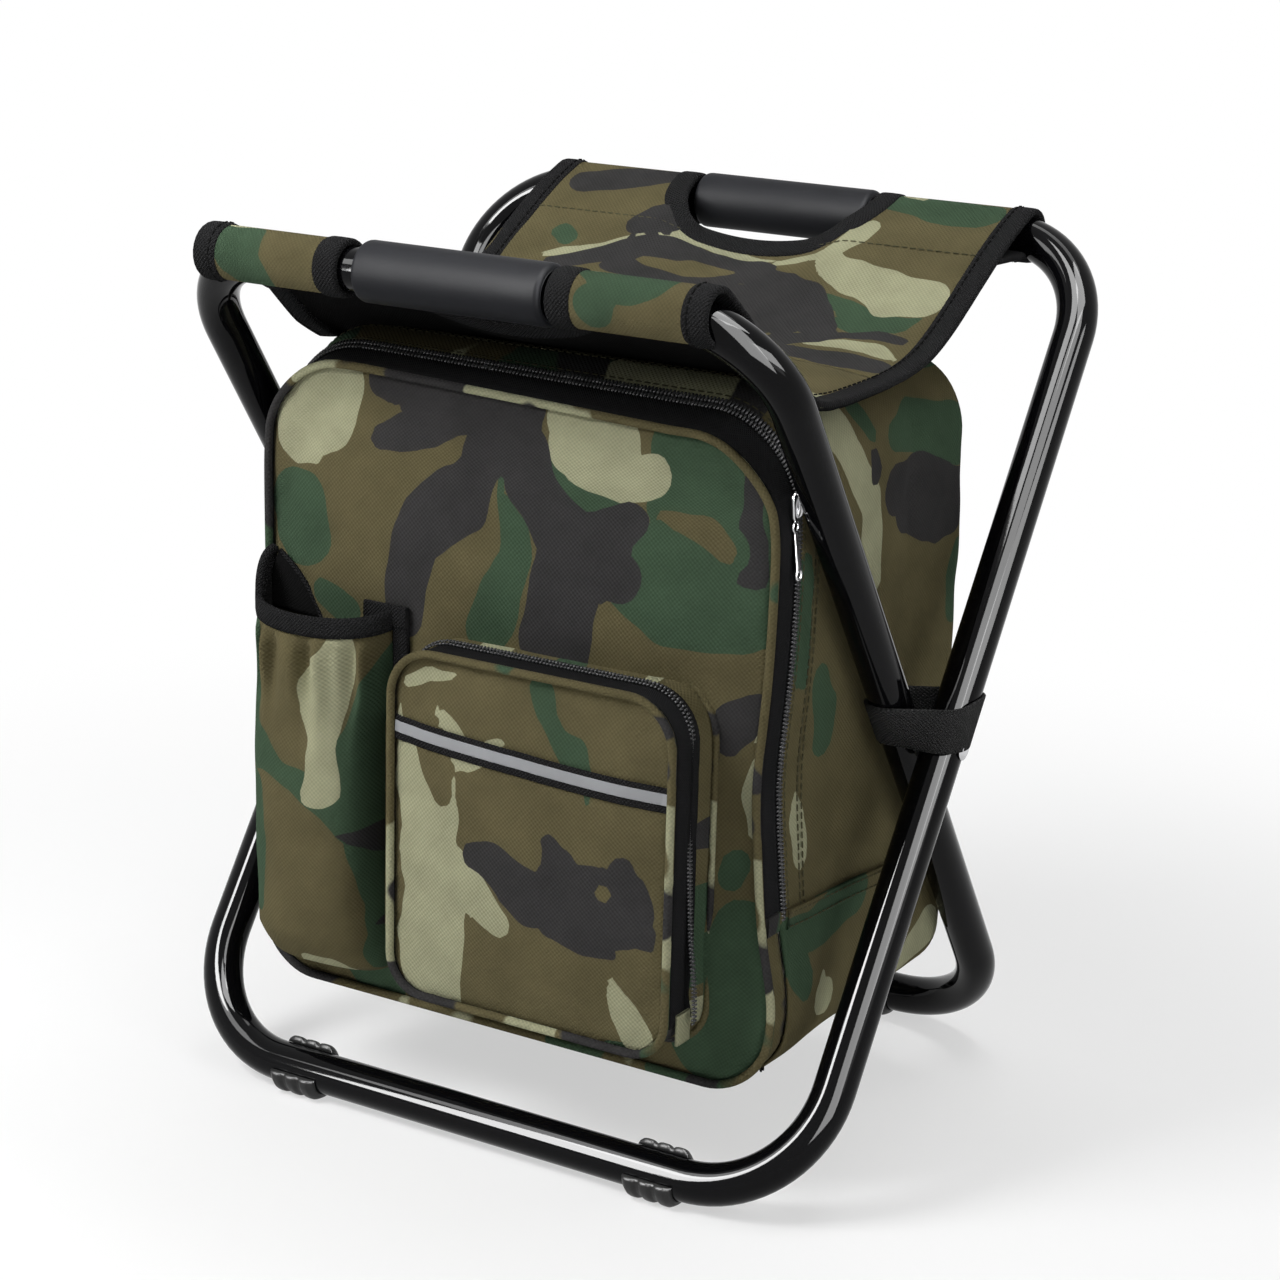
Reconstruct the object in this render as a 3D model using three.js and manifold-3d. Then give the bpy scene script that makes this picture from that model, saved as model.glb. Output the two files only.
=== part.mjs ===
// Folding cooler stool: two crossed tube frames, a sling seat, and an insulated bag between the legs.
// Millimetres, +Z up, X along the rails, -Y to the front, origin on the floor below the middle.
import * as THREE from 'three';
import { mergeVertices } from 'three/addons/utils/BufferGeometryUtils.js';
import Module from 'manifold-3d';

const wasm = await Module();
wasm.setup();

// Clearance between pieces that touch
const GAP = 0.3;

// Tube frames
const TUBE_DIAMETER = 19;
const TUBE_WALL = 1.2;
const OUTER_HALF_WIDTH = 165; // centre line of the outer frame's legs
const FRAME_GAP = 1.5; // between the two frames' legs at the pivot
const TOP_RAIL_HEIGHT = 395;
const TOP_HALF_SPREAD = 140.5; // a top rail's distance in front of or behind the pivot
const BOTTOM_HALF_SPREAD = 121;
const TOP_BEND = 48; // centre line radius of the corners
const BOTTOM_BEND = 55;
const TUBE_SIDES = 16;
const BORE_SIDES = 8;
const BEND_STEPS = 7;

// Pivot rivets and washers
const RIVET_RADIUS = 3;
const RIVET_HEAD_RADIUS = 5;
const RIVET_HEAD_HEIGHT = 1;
const WASHER_RADIUS = 8;
const RIVET_SIDES = 16;

// Foot clips
const SOLE = 2.5; // clip below the tube
const CLIP_LENGTH = 25;
const CLIP_FROM_BEND = 1; // straight rail left between the clip and the corner
const CLIP_BODY = 2.4; // radial thickness outside the tube
const CLIP_RIDGE = 3.6;
const CLIP_RIDGE_WIDTH = 4.5;
const CLIP_RIDGE_PITCH = 8;
const CLIP_RIDGES = 3;
const CLIP_MOUTH = 110; // degrees left open round the tube
const CLIP_MOUTH_AT = 55; // degrees above the horizontal, towards the outside of the stool
const CLIP_STEPS = 7;

// Grips
const GRIP_DIAMETER = 27;
const GRIP_HALF_LENGTH = 47;
const GRIP_EDGE = 3;

// Sling seat
const SEAT_INSET = 35; // seat's edge from the centre line of the outer frame's legs
const SEAT_HALF_WIDTH = OUTER_HALF_WIDTH - SEAT_INSET;
const CLOTH = 2; // doubled seat cloth
const SEAT_REST = 0.6; // seat above the bag's top
const SAG_POWER = 2.2; // how flat the sling lies in the middle
const HAND_HALF_WIDTH = 50; // hand cut-out, also where the sleeves start
const HAND_DEPTH = 30.5; // from the rail's centre line
const HAND_CORNER = 22;
const SLEEVE_TAIL = 21; // sewn tail, from the rail's centre line
const SLEEVE_WALL = 1.6;
const SAG_STEPS = 18;

// Frame straps
const WEBBING = 1.5;
const STRAP_WIDTH = 20;
const STRAP_RISE = 10; // strap's middle above the pivot
const BELT_STEPS = 4;

// Bag
const BAG_LOW = 50;
const BAG_HIGH = 350;
const ZIP_LINE = -88; // where flap and bag meet, along Y
const BAG_BACK = 85;
const BAG_LOW_CORNER = 25;
const BAG_HIGH_CORNER = 40;
const BACK_EDGE = 14;
const FABRIC = 1.6;
const FOAM = 4;
const LINER = 0.8;
const BOARD = 2.5;
const BOARD_MARGIN = 2;
const CORNER_STEPS = 6;
const EDGE_STEPS = 3;

// Front flap and main zip
const FLAP_RIM = 12; // zip line to the flap's face
const FLAP_EDGE = 6;
const PIPING_RADIUS = 2.2;
const PIPING_SIDES = 6;
const ZIP_TAPE = 0.8;
const ZIP_TAPE_WIDTH = 5.4; // one half
const ZIP_END = 131; // height where the zip stops on both sides
const SLIDER_HEIGHT = 310;
const SLIDER_LENGTH = 12;
const SLIDER_WIDTH = 8;
const SLIDER_THICK = 2;
const PULL_LENGTH = 24;
const PULL_WIDTH = 5;
const PULL_THICK = 1.4;
const PULL_DROP = 0.8; // pull below its slider

// Front pocket
const POCKET_CENTRE = 32;
const POCKET_WIDTH = 144;
const POCKET_LOW = 70;
const POCKET_HEIGHT = 160;
const POCKET_DEPTH = 31;
const POCKET_COVER_RIM = 14.5;
const POCKET_LOW_CORNER = 18;
const POCKET_HIGH_CORNER = 22;
const POCKET_EDGE = 5;
const POCKET_ZIP_END = 84;
const POCKET_SLIDER_HEIGHT = 103;
const STRIP_HEIGHT = 188; // reflective strip's middle
const STRIP_WIDTH = 10;
const STRIP_THICK = 0.6;
const STRIP_MARGIN = 7;

// Bottle pocket
const BOTTLE_ROOM = 32.5; // from the inner leg to the front pocket, less the bottle pocket's width
const BOTTLE_LOW = 64;
const BOTTLE_HIGH = 232;
const BOTTLE_DEPTH = 30;
const BOTTLE_DIP = 5; // mouth's front edge below its ends
const BOTTLE_FULLNESS = 0.7; // 1 is an ellipse, less is squarer
const BOTTLE_STEPS = 14;
const ELASTIC_HEIGHT = 9;
const ELASTIC_PROUD = 0.5;

// Shoulder straps
const SHOULDER_CENTRE = 58;
const SHOULDER_WIDTH = 50;
const SHOULDER_PAD = 9;
const SHOULDER_REACH = 18; // pad's inner face, out from the bag's back
const SHOULDER_HIGH = 332;
const SHOULDER_LOW = 150;
const SHOULDER_SEAM = 14; // sewn end on the bag's back
const SHOULDER_BEND = 90; // height of the pad's curved upper part
const ADJUSTER_WIDTH = 34;
const ADJUSTER_HEIGHT = 22;
const ADJUSTER_THICK = 4;
const ADJUSTER_SLOT = 4;
const ADJUSTER_RIB = 4;
const ADJUSTER_WEBBING = 25;
const WEBBING_FOOT = 84; // height where the webbing is sewn to the back
const WEBBING_SEAM = 12;

// Worked out from the sizes above
const TUBE_RADIUS = TUBE_DIAMETER / 2;
const BOTTOM_RAIL_HEIGHT = SOLE + TUBE_RADIUS;
const LEAN = Math.atan2(TOP_HALF_SPREAD + BOTTOM_HALF_SPREAD, TOP_RAIL_HEIGHT - BOTTOM_RAIL_HEIGHT);
const UPPER_ARM = TOP_HALF_SPREAD / Math.sin(LEAN);
const LOWER_ARM = BOTTOM_HALF_SPREAD / Math.sin(LEAN);
const PIVOT_HEIGHT = BOTTOM_RAIL_HEIGHT + LOWER_ARM * Math.cos(LEAN);
const INNER_HALF_WIDTH = OUTER_HALF_WIDTH - TUBE_DIAMETER - FRAME_GAP;
const BELT_RADIUS = TUBE_RADIUS / Math.cos(LEAN) + GAP; // strap's bend round a leaning tube
const BAG_HALF_WIDTH = INNER_HALF_WIDTH - BELT_RADIUS - WEBBING - GAP;
const FLAP_FACE = ZIP_LINE - FLAP_RIM;
const SLEEVE_BORE = TUBE_RADIUS + GAP;

// Materials
const finish = (color, roughness, metalness = 0) =>
  new THREE.MeshStandardMaterial({ color, roughness, metalness });
const tubePaint = finish(0x0c0c0d, 0.2, 0.3);
const gripFoam = finish(0x2a2b2e, 0.8);
const clipPlastic = finish(0x151515, 0.55);
const steel = finish(0x9a9da1, 0.3, 1);
const camouflage = finish(0x5a573b, 0.9);
const blackCloth = finish(0x171717, 0.95);
const zipCloth = finish(0x1b1b1b, 0.85);
const foil = finish(0xc4c8cc, 0.35, 0.6);
const whiteFoam = finish(0xe6e4dc, 0.9);
const reflective = finish(0xb4b8bc, 0.35, 0.3);

const stool = new THREE.Group();

function add(parent, name, geometry, material) {
  geometry.computeVertexNormals();
  const mesh = new THREE.Mesh(geometry, material);
  mesh.name = name;
  parent.add(mesh);
  return mesh;
}

function group(parent) {
  const made = new THREE.Group();
  parent.add(made);
  return made;
}

// Joins and cuts
function solid(geometry) {
  const bare = geometry.clone();
  bare.deleteAttribute('normal');
  bare.deleteAttribute('uv');
  const merged = mergeVertices(bare);
  const vertProperties = new Float32Array(merged.attributes.position.array);
  const triVerts = new Uint32Array(merged.index.array);
  return new wasm.Manifold(new wasm.Mesh({ numProp: 3, vertProperties, triVerts }));
}

function geometryOf(body) {
  const { vertProperties, triVerts } = body.getMesh();
  const geometry = new THREE.BufferGeometry();
  geometry.setAttribute('position', new THREE.BufferAttribute(vertProperties, 3));
  geometry.setIndex(new THREE.BufferAttribute(triVerts, 1));
  return geometry;
}

// A closed skin from points and triangles, turned to face outwards
function skin(points, faces) {
  let volume = 0;
  for (let i = 0; i < faces.length; i += 3) {
    const [a, b, c] = [points[faces[i]], points[faces[i + 1]], points[faces[i + 2]]];
    volume += a.dot(b.clone().cross(c));
  }
  const geometry = new THREE.BufferGeometry().setFromPoints(points);
  geometry.setIndex(volume < 0 ? faces.reverse() : faces);
  return geometry;
}

// Joins rings of equally many points; the end rings get lids, or meet each other in a closed loop
function loft(rings, loop = false) {
  const count = rings[0].length;
  const points = rings.flat();
  const faces = [];
  const bands = loop ? rings.length : rings.length - 1;
  for (let band = 0; band < bands; band += 1) {
    const here = band * count;
    const next = ((band + 1) % rings.length) * count;
    for (let i = 0; i < count; i += 1) {
      const j = (i + 1) % count;
      faces.push(here + i, here + j, next + j, here + i, next + j, next + i);
    }
  }
  if (!loop) {
    const last = (rings.length - 1) * count;
    for (let i = 1; i < count - 1; i += 1) {
      faces.push(0, i + 1, i, last, last + i, last + i + 1);
    }
  }
  return skin(points, faces);
}

// Outline stations in the X-Z plane, each a point and its outward normal
function arc(x, z, radius, startDegrees, steps) {
  return Array.from({ length: steps + 1 }, (_, i) => {
    const angle = THREE.MathUtils.degToRad(startDegrees + (90 * i) / steps);
    const normal = new THREE.Vector2(Math.cos(angle), Math.sin(angle));
    return { point: new THREE.Vector2(x, z).addScaledVector(normal, radius), normal };
  });
}

function roundedOutline(left, right, low, high, lowCorner, highCorner, steps) {
  return [
    ...arc(right - lowCorner, low + lowCorner, lowCorner, -90, steps),
    ...arc(right - highCorner, high - highCorner, highCorner, 0, steps),
    ...arc(left + highCorner, high - highCorner, highCorner, 90, steps),
    ...arc(left + lowCorner, low + lowCorner, lowCorner, 180, steps),
  ];
}

// The part of an outline that runs up one side, over the top and down the other
function archOutline(left, right, end, high, highCorner, steps) {
  return [
    { point: new THREE.Vector2(right, end), normal: new THREE.Vector2(1, 0) },
    ...arc(right - highCorner, high - highCorner, highCorner, 0, steps),
    ...arc(left + highCorner, high - highCorner, highCorner, 90, steps),
    { point: new THREE.Vector2(left, end), normal: new THREE.Vector2(-1, 0) },
  ];
}

function ring(stations, offset, y) {
  return stations.map(({ point, normal }) => {
    const moved = point.clone().addScaledVector(normal, offset);
    return new THREE.Vector3(moved.x, y, moved.y);
  });
}

// A round tube along a closed outline at depth y
function tubeLoop(stations, radius, sides, y = 0) {
  const rings = stations.map(({ point, normal }) =>
    Array.from({ length: sides }, (_, i) => {
      const angle = (2 * Math.PI * (i + 0.5)) / sides;
      const at = point.clone().addScaledVector(normal, radius * Math.cos(angle));
      return new THREE.Vector3(at.x, y + radius * Math.sin(angle), at.y);
    }),
  );
  return loft(rings, true);
}

// Rings of one face of a cup, from its open end to its rounded closed end
function cupRings(stations, inset, openY, closedY, edge) {
  const inward = Math.sign(openY - closedY);
  const face = closedY + inward * inset;
  const bend = edge - inset;
  const rings = [ring(stations, -inset, openY)];
  for (let i = 0; i <= EDGE_STEPS; i += 1) {
    const angle = (Math.PI / 2) * (i / EDGE_STEPS);
    const drawn = inset + bend * (1 - Math.cos(angle));
    rings.push(ring(stations, -drawn, face + inward * bend * (1 - Math.sin(angle))));
  }
  return rings;
}

function cup(stations, innerInset, outerInset, openY, closedY, edge) {
  const inner = cupRings(stations, innerInset, openY, closedY, edge).reverse();
  const outer = cupRings(stations, outerInset, openY, closedY, edge);
  return loft([...inner, ...outer]);
}

// A flat band that follows stations, from one offset and depth to another
function band(stations, lowOffset, highOffset, frontY, backY) {
  const rings = stations.map(({ point, normal }) => {
    const low = point.clone().addScaledVector(normal, lowOffset);
    const high = point.clone().addScaledVector(normal, highOffset);
    return [
      new THREE.Vector3(low.x, frontY, low.y),
      new THREE.Vector3(high.x, frontY, high.y),
      new THREE.Vector3(high.x, backY, high.y),
      new THREE.Vector3(low.x, backY, low.y),
    ];
  });
  return loft(rings);
}

function plate(stations, inset, frontY, backY) {
  return loft([ring(stations, -inset, frontY), ring(stations, -inset, backY)]);
}

// Shapes drawn in Y-Z and run along X, or drawn in X-Y and run along Z
const ALONG_X = new THREE.Matrix4().makeBasis(
  new THREE.Vector3(0, 1, 0),
  new THREE.Vector3(0, 0, 1),
  new THREE.Vector3(1, 0, 0),
);

function runAlongX(shape, fromX, toX, curveSegments = 8) {
  const options = { depth: toX - fromX, bevelEnabled: false, curveSegments };
  return new THREE.ExtrudeGeometry(shape, options).applyMatrix4(ALONG_X).translate(fromX, 0, 0);
}

function runAlongZ(shape, fromZ, toZ, curveSegments = 8) {
  const options = { depth: toZ - fromZ, bevelEnabled: false, curveSegments };
  return new THREE.ExtrudeGeometry(shape, options).translate(0, 0, fromZ);
}

// A profile of [radius, x] pairs turned about the X axis
function turned(profile, sides) {
  const points = profile.map(([radius, x]) => new THREE.Vector2(radius, x));
  return new THREE.LatheGeometry(points, sides).rotateZ(-Math.PI / 2);
}

// Tube frames

function frameOutline(halfWidth) {
  return roundedOutline(
    -halfWidth, halfWidth, -LOWER_ARM, UPPER_ARM, BOTTOM_BEND, TOP_BEND, BEND_STEPS,
  );
}

function tubeFrame(halfWidth) {
  const outline = frameOutline(halfWidth);
  const hole = new THREE.CylinderGeometry(
    RIVET_RADIUS + GAP, RIVET_RADIUS + GAP, 2 * (halfWidth + TUBE_DIAMETER), RIVET_SIDES,
  ).rotateZ(Math.PI / 2);
  const bore = tubeLoop(outline, TUBE_RADIUS - TUBE_WALL, BORE_SIDES);
  const tube = tubeLoop(outline, TUBE_RADIUS, TUBE_SIDES);
  return geometryOf(solid(tube).subtract(solid(bore)).subtract(solid(hole)));
}

// The outer frame's top leans back, the inner frame's leans forward
function leaningGroup(side) {
  const leaning = group(stool);
  leaning.position.z = PIVOT_HEIGHT;
  leaning.rotation.x = -side * LEAN;
  leaning.updateMatrix();
  return leaning;
}

function grip() {
  const radius = GRIP_DIAMETER / 2;
  const round = GRIP_EDGE * (1 - Math.SQRT1_2);
  const half = [
    [SLEEVE_BORE, GRIP_HALF_LENGTH],
    [radius - GRIP_EDGE, GRIP_HALF_LENGTH],
    [radius - round, GRIP_HALF_LENGTH - round],
    [radius, GRIP_HALF_LENGTH - GRIP_EDGE],
  ];
  const mirrored = half.map(([r, x]) => [r, -x]).reverse();
  return turned([...half, ...mirrored, half[0]].reverse(), TUBE_SIDES);
}

function frameWithGrip(side, halfWidth, frameName, gripName) {
  const frame = leaningGroup(side);
  add(frame, frameName, tubeFrame(halfWidth), tubePaint);
  add(frame, gripName, grip(), gripFoam).position.z = UPPER_ARM;
  return frame;
}

function rivet() {
  const head = OUTER_HALF_WIDTH + TUBE_RADIUS + GAP;
  const tail = INNER_HALF_WIDTH - TUBE_RADIUS - GAP;
  return turned([
    [0, tail - RIVET_HEAD_HEIGHT],
    [RIVET_HEAD_RADIUS * 0.6, tail - RIVET_HEAD_HEIGHT],
    [RIVET_HEAD_RADIUS, tail],
    [RIVET_RADIUS, tail],
    [RIVET_RADIUS, head],
    [RIVET_HEAD_RADIUS, head],
    [RIVET_HEAD_RADIUS * 0.6, head + RIVET_HEAD_HEIGHT],
    [0, head + RIVET_HEAD_HEIGHT],
  ], RIVET_SIDES);
}

function washer() {
  const inner = INNER_HALF_WIDTH + TUBE_RADIUS + GAP;
  const outer = OUTER_HALF_WIDTH - TUBE_RADIUS - GAP;
  const bore = RIVET_RADIUS + GAP;
  return turned([
    [bore, inner], [WASHER_RADIUS, inner], [WASHER_RADIUS, outer], [bore, outer], [bore, inner],
  ], RIVET_SIDES);
}

function pivots() {
  for (const [name, turn] of [['left', Math.PI], ['right', 0]]) {
    const pivot = group(stool);
    pivot.position.z = PIVOT_HEIGHT;
    pivot.rotation.z = turn;
    add(pivot, `pivot_rivet_${name}`, rivet(), steel);
    add(pivot, `pivot_washer_${name}`, washer(), clipPlastic);
  }
}

// A C-shaped clip round a bottom rail, open towards the outside of the stool, with a flat sole
function footClip(side) {
  const middle = side > 0 ? CLIP_MOUTH_AT : 180 - CLIP_MOUTH_AT;
  const start = THREE.MathUtils.degToRad(middle + CLIP_MOUTH / 2);
  const end = THREE.MathUtils.degToRad(middle - CLIP_MOUTH / 2 + 360);
  const hook = (thickness, length) => {
    const shape = new THREE.Shape();
    shape.absarc(0, 0, TUBE_RADIUS + thickness, start, end, false);
    shape.absarc(0, 0, SLEEVE_BORE, end, start, true);
    shape.closePath();
    return solid(runAlongX(shape, -length / 2, length / 2, CLIP_STEPS));
  };
  let clip = hook(CLIP_BODY, CLIP_LENGTH);
  const ridge = hook(CLIP_RIDGE, CLIP_RIDGE_WIDTH);
  for (let i = 0; i < CLIP_RIDGES; i += 1) {
    clip = clip.add(ridge.translate([(i - (CLIP_RIDGES - 1) / 2) * CLIP_RIDGE_PITCH, 0, 0]));
  }
  const below = new THREE.BoxGeometry(2 * CLIP_LENGTH, 4 * TUBE_DIAMETER, TUBE_DIAMETER);
  below.translate(0, 0, -BOTTOM_RAIL_HEIGHT - TUBE_DIAMETER / 2);
  return geometryOf(clip.subtract(solid(below)));
}

function feet() {
  const pairs = [['front', -1, OUTER_HALF_WIDTH], ['rear', 1, INNER_HALF_WIDTH]];
  for (const [end, side, halfWidth] of pairs) {
    const centre = halfWidth - BOTTOM_BEND - CLIP_FROM_BEND - CLIP_LENGTH / 2;
    for (const [name, x] of [['left', -centre], ['right', centre]]) {
      const clip = add(stool, `${end}_foot_${name}`, footClip(side), clipPlastic);
      clip.position.set(x, side * BOTTOM_HALF_SPREAD, BOTTOM_RAIL_HEIGHT);
    }
  }
}

// Sling seat

// Height of the sling's lower face at a distance y from the middle
function sagHeight(y) {
  const low = BAG_HIGH + SEAT_REST;
  const high = TOP_RAIL_HEIGHT + TUBE_RADIUS + GAP;
  return low + (high - low) * (Math.abs(y) / TOP_HALF_SPREAD) ** SAG_POWER;
}

const PANEL_END = TOP_HALF_SPREAD - SLEEVE_TAIL;

function seatPanel() {
  const along = Array.from({ length: SAG_STEPS + 1 }, (_, i) => (2 * i / SAG_STEPS - 1) * PANEL_END);
  const lower = along.map((y) => new THREE.Vector2(y, sagHeight(y)));
  const upper = along.map((y) => new THREE.Vector2(y, sagHeight(y) + CLOTH)).reverse();
  let panel = solid(runAlongX(new THREE.Shape([...lower, ...upper]), -SEAT_HALF_WIDTH, SEAT_HALF_WIDTH));
  for (const side of [-1, 1]) {
    const edge = TOP_HALF_SPREAD - HAND_DEPTH;
    const hand = new THREE.Shape();
    hand.moveTo(-HAND_HALF_WIDTH, side * TOP_HALF_SPREAD);
    hand.lineTo(-HAND_HALF_WIDTH, side * (edge + HAND_CORNER));
    hand.quadraticCurveTo(-HAND_HALF_WIDTH, side * edge, -HAND_HALF_WIDTH + HAND_CORNER, side * edge);
    hand.lineTo(HAND_HALF_WIDTH - HAND_CORNER, side * edge);
    hand.quadraticCurveTo(HAND_HALF_WIDTH, side * edge, HAND_HALF_WIDTH, side * (edge + HAND_CORNER));
    hand.lineTo(HAND_HALF_WIDTH, side * TOP_HALF_SPREAD);
    panel = panel.subtract(solid(runAlongZ(hand, BAG_HIGH, TOP_RAIL_HEIGHT + TUBE_DIAMETER)));
  }
  return geometryOf(panel);
}

// A drop-shaped sleeve over a top rail, whose tail meets the seat panel; the rail's bend leaves it below
function seatSleeve(side, rail, fromX, toX) {
  const radius = SLEEVE_BORE + SLEEVE_WALL;
  const centre = new THREE.Vector2(side * TOP_HALF_SPREAD, TOP_RAIL_HEIGHT);
  const tipY = side * (PANEL_END + GAP);
  const lower = new THREE.Vector2(tipY, sagHeight(tipY));
  const upper = new THREE.Vector2(tipY, sagHeight(tipY) + CLOTH);
  const reach = lower.clone().sub(centre);
  const facing = reach.angle();
  const spread = Math.acos(radius / reach.length());
  const shape = new THREE.Shape();
  shape.absarc(centre.x, centre.y, radius, facing + spread, facing - spread + 2 * Math.PI, false);
  for (const corner of side > 0 ? [upper, lower] : [lower, upper]) {
    shape.lineTo(corner.x, corner.y);
  }
  shape.closePath();
  return geometryOf(solid(runAlongX(shape, fromX, toX, 12)).subtract(rail));
}

function seat(frames) {
  add(stool, 'seat_panel', seatPanel(), camouflage);
  for (const { end, side, halfWidth, frame } of frames) {
    const clearance = tubeLoop(frameOutline(halfWidth), SLEEVE_BORE, TUBE_SIDES);
    const rail = solid(clearance.applyMatrix4(frame.matrix));
    const left = seatSleeve(side, rail, -SEAT_HALF_WIDTH, -HAND_HALF_WIDTH);
    const right = seatSleeve(side, rail, HAND_HALF_WIDTH, SEAT_HALF_WIDTH);
    add(stool, `${end}_sleeve_left`, left, camouflage);
    add(stool, `${end}_sleeve_right`, right, camouflage);
  }
}

// Frame straps: a webbing belt round both legs, wide enough for the legs to turn in as they fold

function beltOutline(corners, radius) {
  return corners.flatMap((corner, i) => {
    const before = corners[(i + corners.length - 1) % corners.length];
    const after = corners[(i + 1) % corners.length];
    const start = corner.clone().sub(before).angle() - Math.PI / 2;
    const turn = (after.clone().sub(corner).angle() - Math.PI / 2 - start + 4 * Math.PI) % (2 * Math.PI);
    return Array.from({ length: BELT_STEPS + 1 }, (_, k) => {
      const angle = start + (turn * k) / BELT_STEPS;
      return new THREE.Vector2(Math.cos(angle), Math.sin(angle)).multiplyScalar(radius).add(corner);
    });
  });
}

function frameStrap(side) {
  const above = (STRAP_RISE + STRAP_WIDTH / 2) * Math.tan(LEAN);
  const below = (STRAP_RISE - STRAP_WIDTH / 2) * Math.tan(LEAN);
  const legs = [
    new THREE.Vector2(side * OUTER_HALF_WIDTH, below),
    new THREE.Vector2(side * OUTER_HALF_WIDTH, above),
    new THREE.Vector2(side * INNER_HALF_WIDTH, -below),
    new THREE.Vector2(side * INNER_HALF_WIDTH, -above),
  ];
  const corners = side > 0 ? legs : legs.reverse();
  const shape = new THREE.Shape(beltOutline(corners, BELT_RADIUS + WEBBING));
  shape.holes.push(new THREE.Path(beltOutline(corners, BELT_RADIUS).reverse()));
  return runAlongZ(shape, -STRAP_WIDTH / 2, STRAP_WIDTH / 2);
}

function frameStraps() {
  for (const [name, side] of [['left', -1], ['right', 1]]) {
    const strap = add(stool, `frame_strap_${name}`, frameStrap(side), blackCloth);
    strap.position.z = PIVOT_HEIGHT + STRAP_RISE;
  }
}

// Bag

const bagOutline = roundedOutline(
  -BAG_HALF_WIDTH, BAG_HALF_WIDTH, BAG_LOW, BAG_HIGH, BAG_LOW_CORNER, BAG_HIGH_CORNER, CORNER_STEPS,
);
const zipOutline = archOutline(
  -BAG_HALF_WIDTH, BAG_HALF_WIDTH, ZIP_END, BAG_HIGH, BAG_HIGH_CORNER, CORNER_STEPS,
);
const FOAM_INSET = FABRIC + GAP;
const LINER_INSET = FOAM_INSET + FOAM + GAP;
const BAG_OPEN = ZIP_LINE + GAP;
const FLAP_OPEN = ZIP_LINE - GAP;

function baseBoard() {
  const inset = LINER_INSET + LINER + GAP;
  const halfWidth = BAG_HALF_WIDTH - BAG_LOW_CORNER;
  const front = BAG_OPEN + BOARD_MARGIN;
  const back = BAG_BACK - BACK_EDGE - BOARD_MARGIN;
  const board = new THREE.BoxGeometry(2 * halfWidth, back - front, BOARD);
  return board.translate(0, (front + back) / 2, BAG_LOW + inset + BOARD / 2);
}

function bag() {
  const layers = [
    ['bag_shell', FABRIC, 0, camouflage],
    ['bag_insulation', FOAM_INSET + FOAM, FOAM_INSET, whiteFoam],
    ['bag_liner', LINER_INSET + LINER, LINER_INSET, foil],
  ];
  for (const [name, inner, outer, material] of layers) {
    add(stool, name, cup(bagOutline, inner, outer, BAG_OPEN, BAG_BACK, BACK_EDGE), material);
  }
  add(stool, 'base_board', baseBoard(), clipPlastic);
  const tape = band(zipOutline, GAP, GAP + ZIP_TAPE, BAG_OPEN, BAG_OPEN + ZIP_TAPE_WIDTH);
  add(stool, 'zip_tape_bag', tape, zipCloth);
}

// Front flap

function flap() {
  const shell = cup(bagOutline, FABRIC, 0, FLAP_OPEN, FLAP_FACE, FLAP_EDGE);
  add(stool, 'front_flap', shell, camouflage);
  const linerBack = FLAP_OPEN - GAP;
  const foamBack = linerBack - LINER - GAP;
  add(stool, 'flap_liner', plate(bagOutline, FOAM_INSET, linerBack - LINER, linerBack), foil);
  const foamFront = FLAP_FACE + FLAP_EDGE;
  add(stool, 'flap_insulation', plate(bagOutline, FOAM_INSET, foamFront, foamBack), whiteFoam);
  add(stool, 'flap_piping', tubeLoop(bagOutline, PIPING_RADIUS, PIPING_SIDES, FLAP_FACE), camouflage);
  const tape = band(zipOutline, GAP, GAP + ZIP_TAPE, FLAP_OPEN - ZIP_TAPE_WIDTH, FLAP_OPEN);
  add(stool, 'zip_tape_flap', tape, zipCloth);
}

// Zip sliders and pulls, drawn on a wall that faces +X

function sliderGeometry() {
  const half = SLIDER_WIDTH / 2;
  const shape = new THREE.Shape();
  shape.moveTo(-half * 0.6, -SLIDER_LENGTH / 2);
  shape.lineTo(half * 0.6, -SLIDER_LENGTH / 2);
  shape.lineTo(half * 0.75, 0);
  shape.quadraticCurveTo(half * 1.2, SLIDER_LENGTH / 2, half * 0.5, SLIDER_LENGTH / 2);
  shape.lineTo(-half * 0.5, SLIDER_LENGTH / 2);
  shape.quadraticCurveTo(-half * 1.2, SLIDER_LENGTH / 2, -half * 0.75, 0);
  return runAlongX(shape, 0, SLIDER_THICK, 4);
}

function pullGeometry() {
  const half = PULL_WIDTH / 2;
  const shape = new THREE.Shape();
  shape.absarc(0, -half, half, 0, Math.PI, false);
  shape.absarc(0, half - PULL_LENGTH, half, Math.PI, 2 * Math.PI, false);
  shape.closePath();
  const eye = new THREE.Path();
  eye.absarc(0, half - PULL_LENGTH, half / 2, 0, 2 * Math.PI, true);
  shape.holes.push(eye);
  return runAlongX(shape, 0, PULL_THICK, 5);
}

// wallX is the zip tape's outer face; side says which way it faces
function zipSlider(name, wallX, side, y, z) {
  const place = group(stool);
  place.position.set(wallX + side * GAP, y, z);
  place.rotation.z = side > 0 ? 0 : Math.PI;
  add(place, `${name}_slider`, sliderGeometry(), steel);
  const pull = add(place, `${name}_pull`, pullGeometry(), steel);
  pull.position.set((SLIDER_THICK - PULL_THICK) / 2, 0, -SLIDER_LENGTH / 2 - PULL_DROP);
}

// Front pocket

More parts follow.
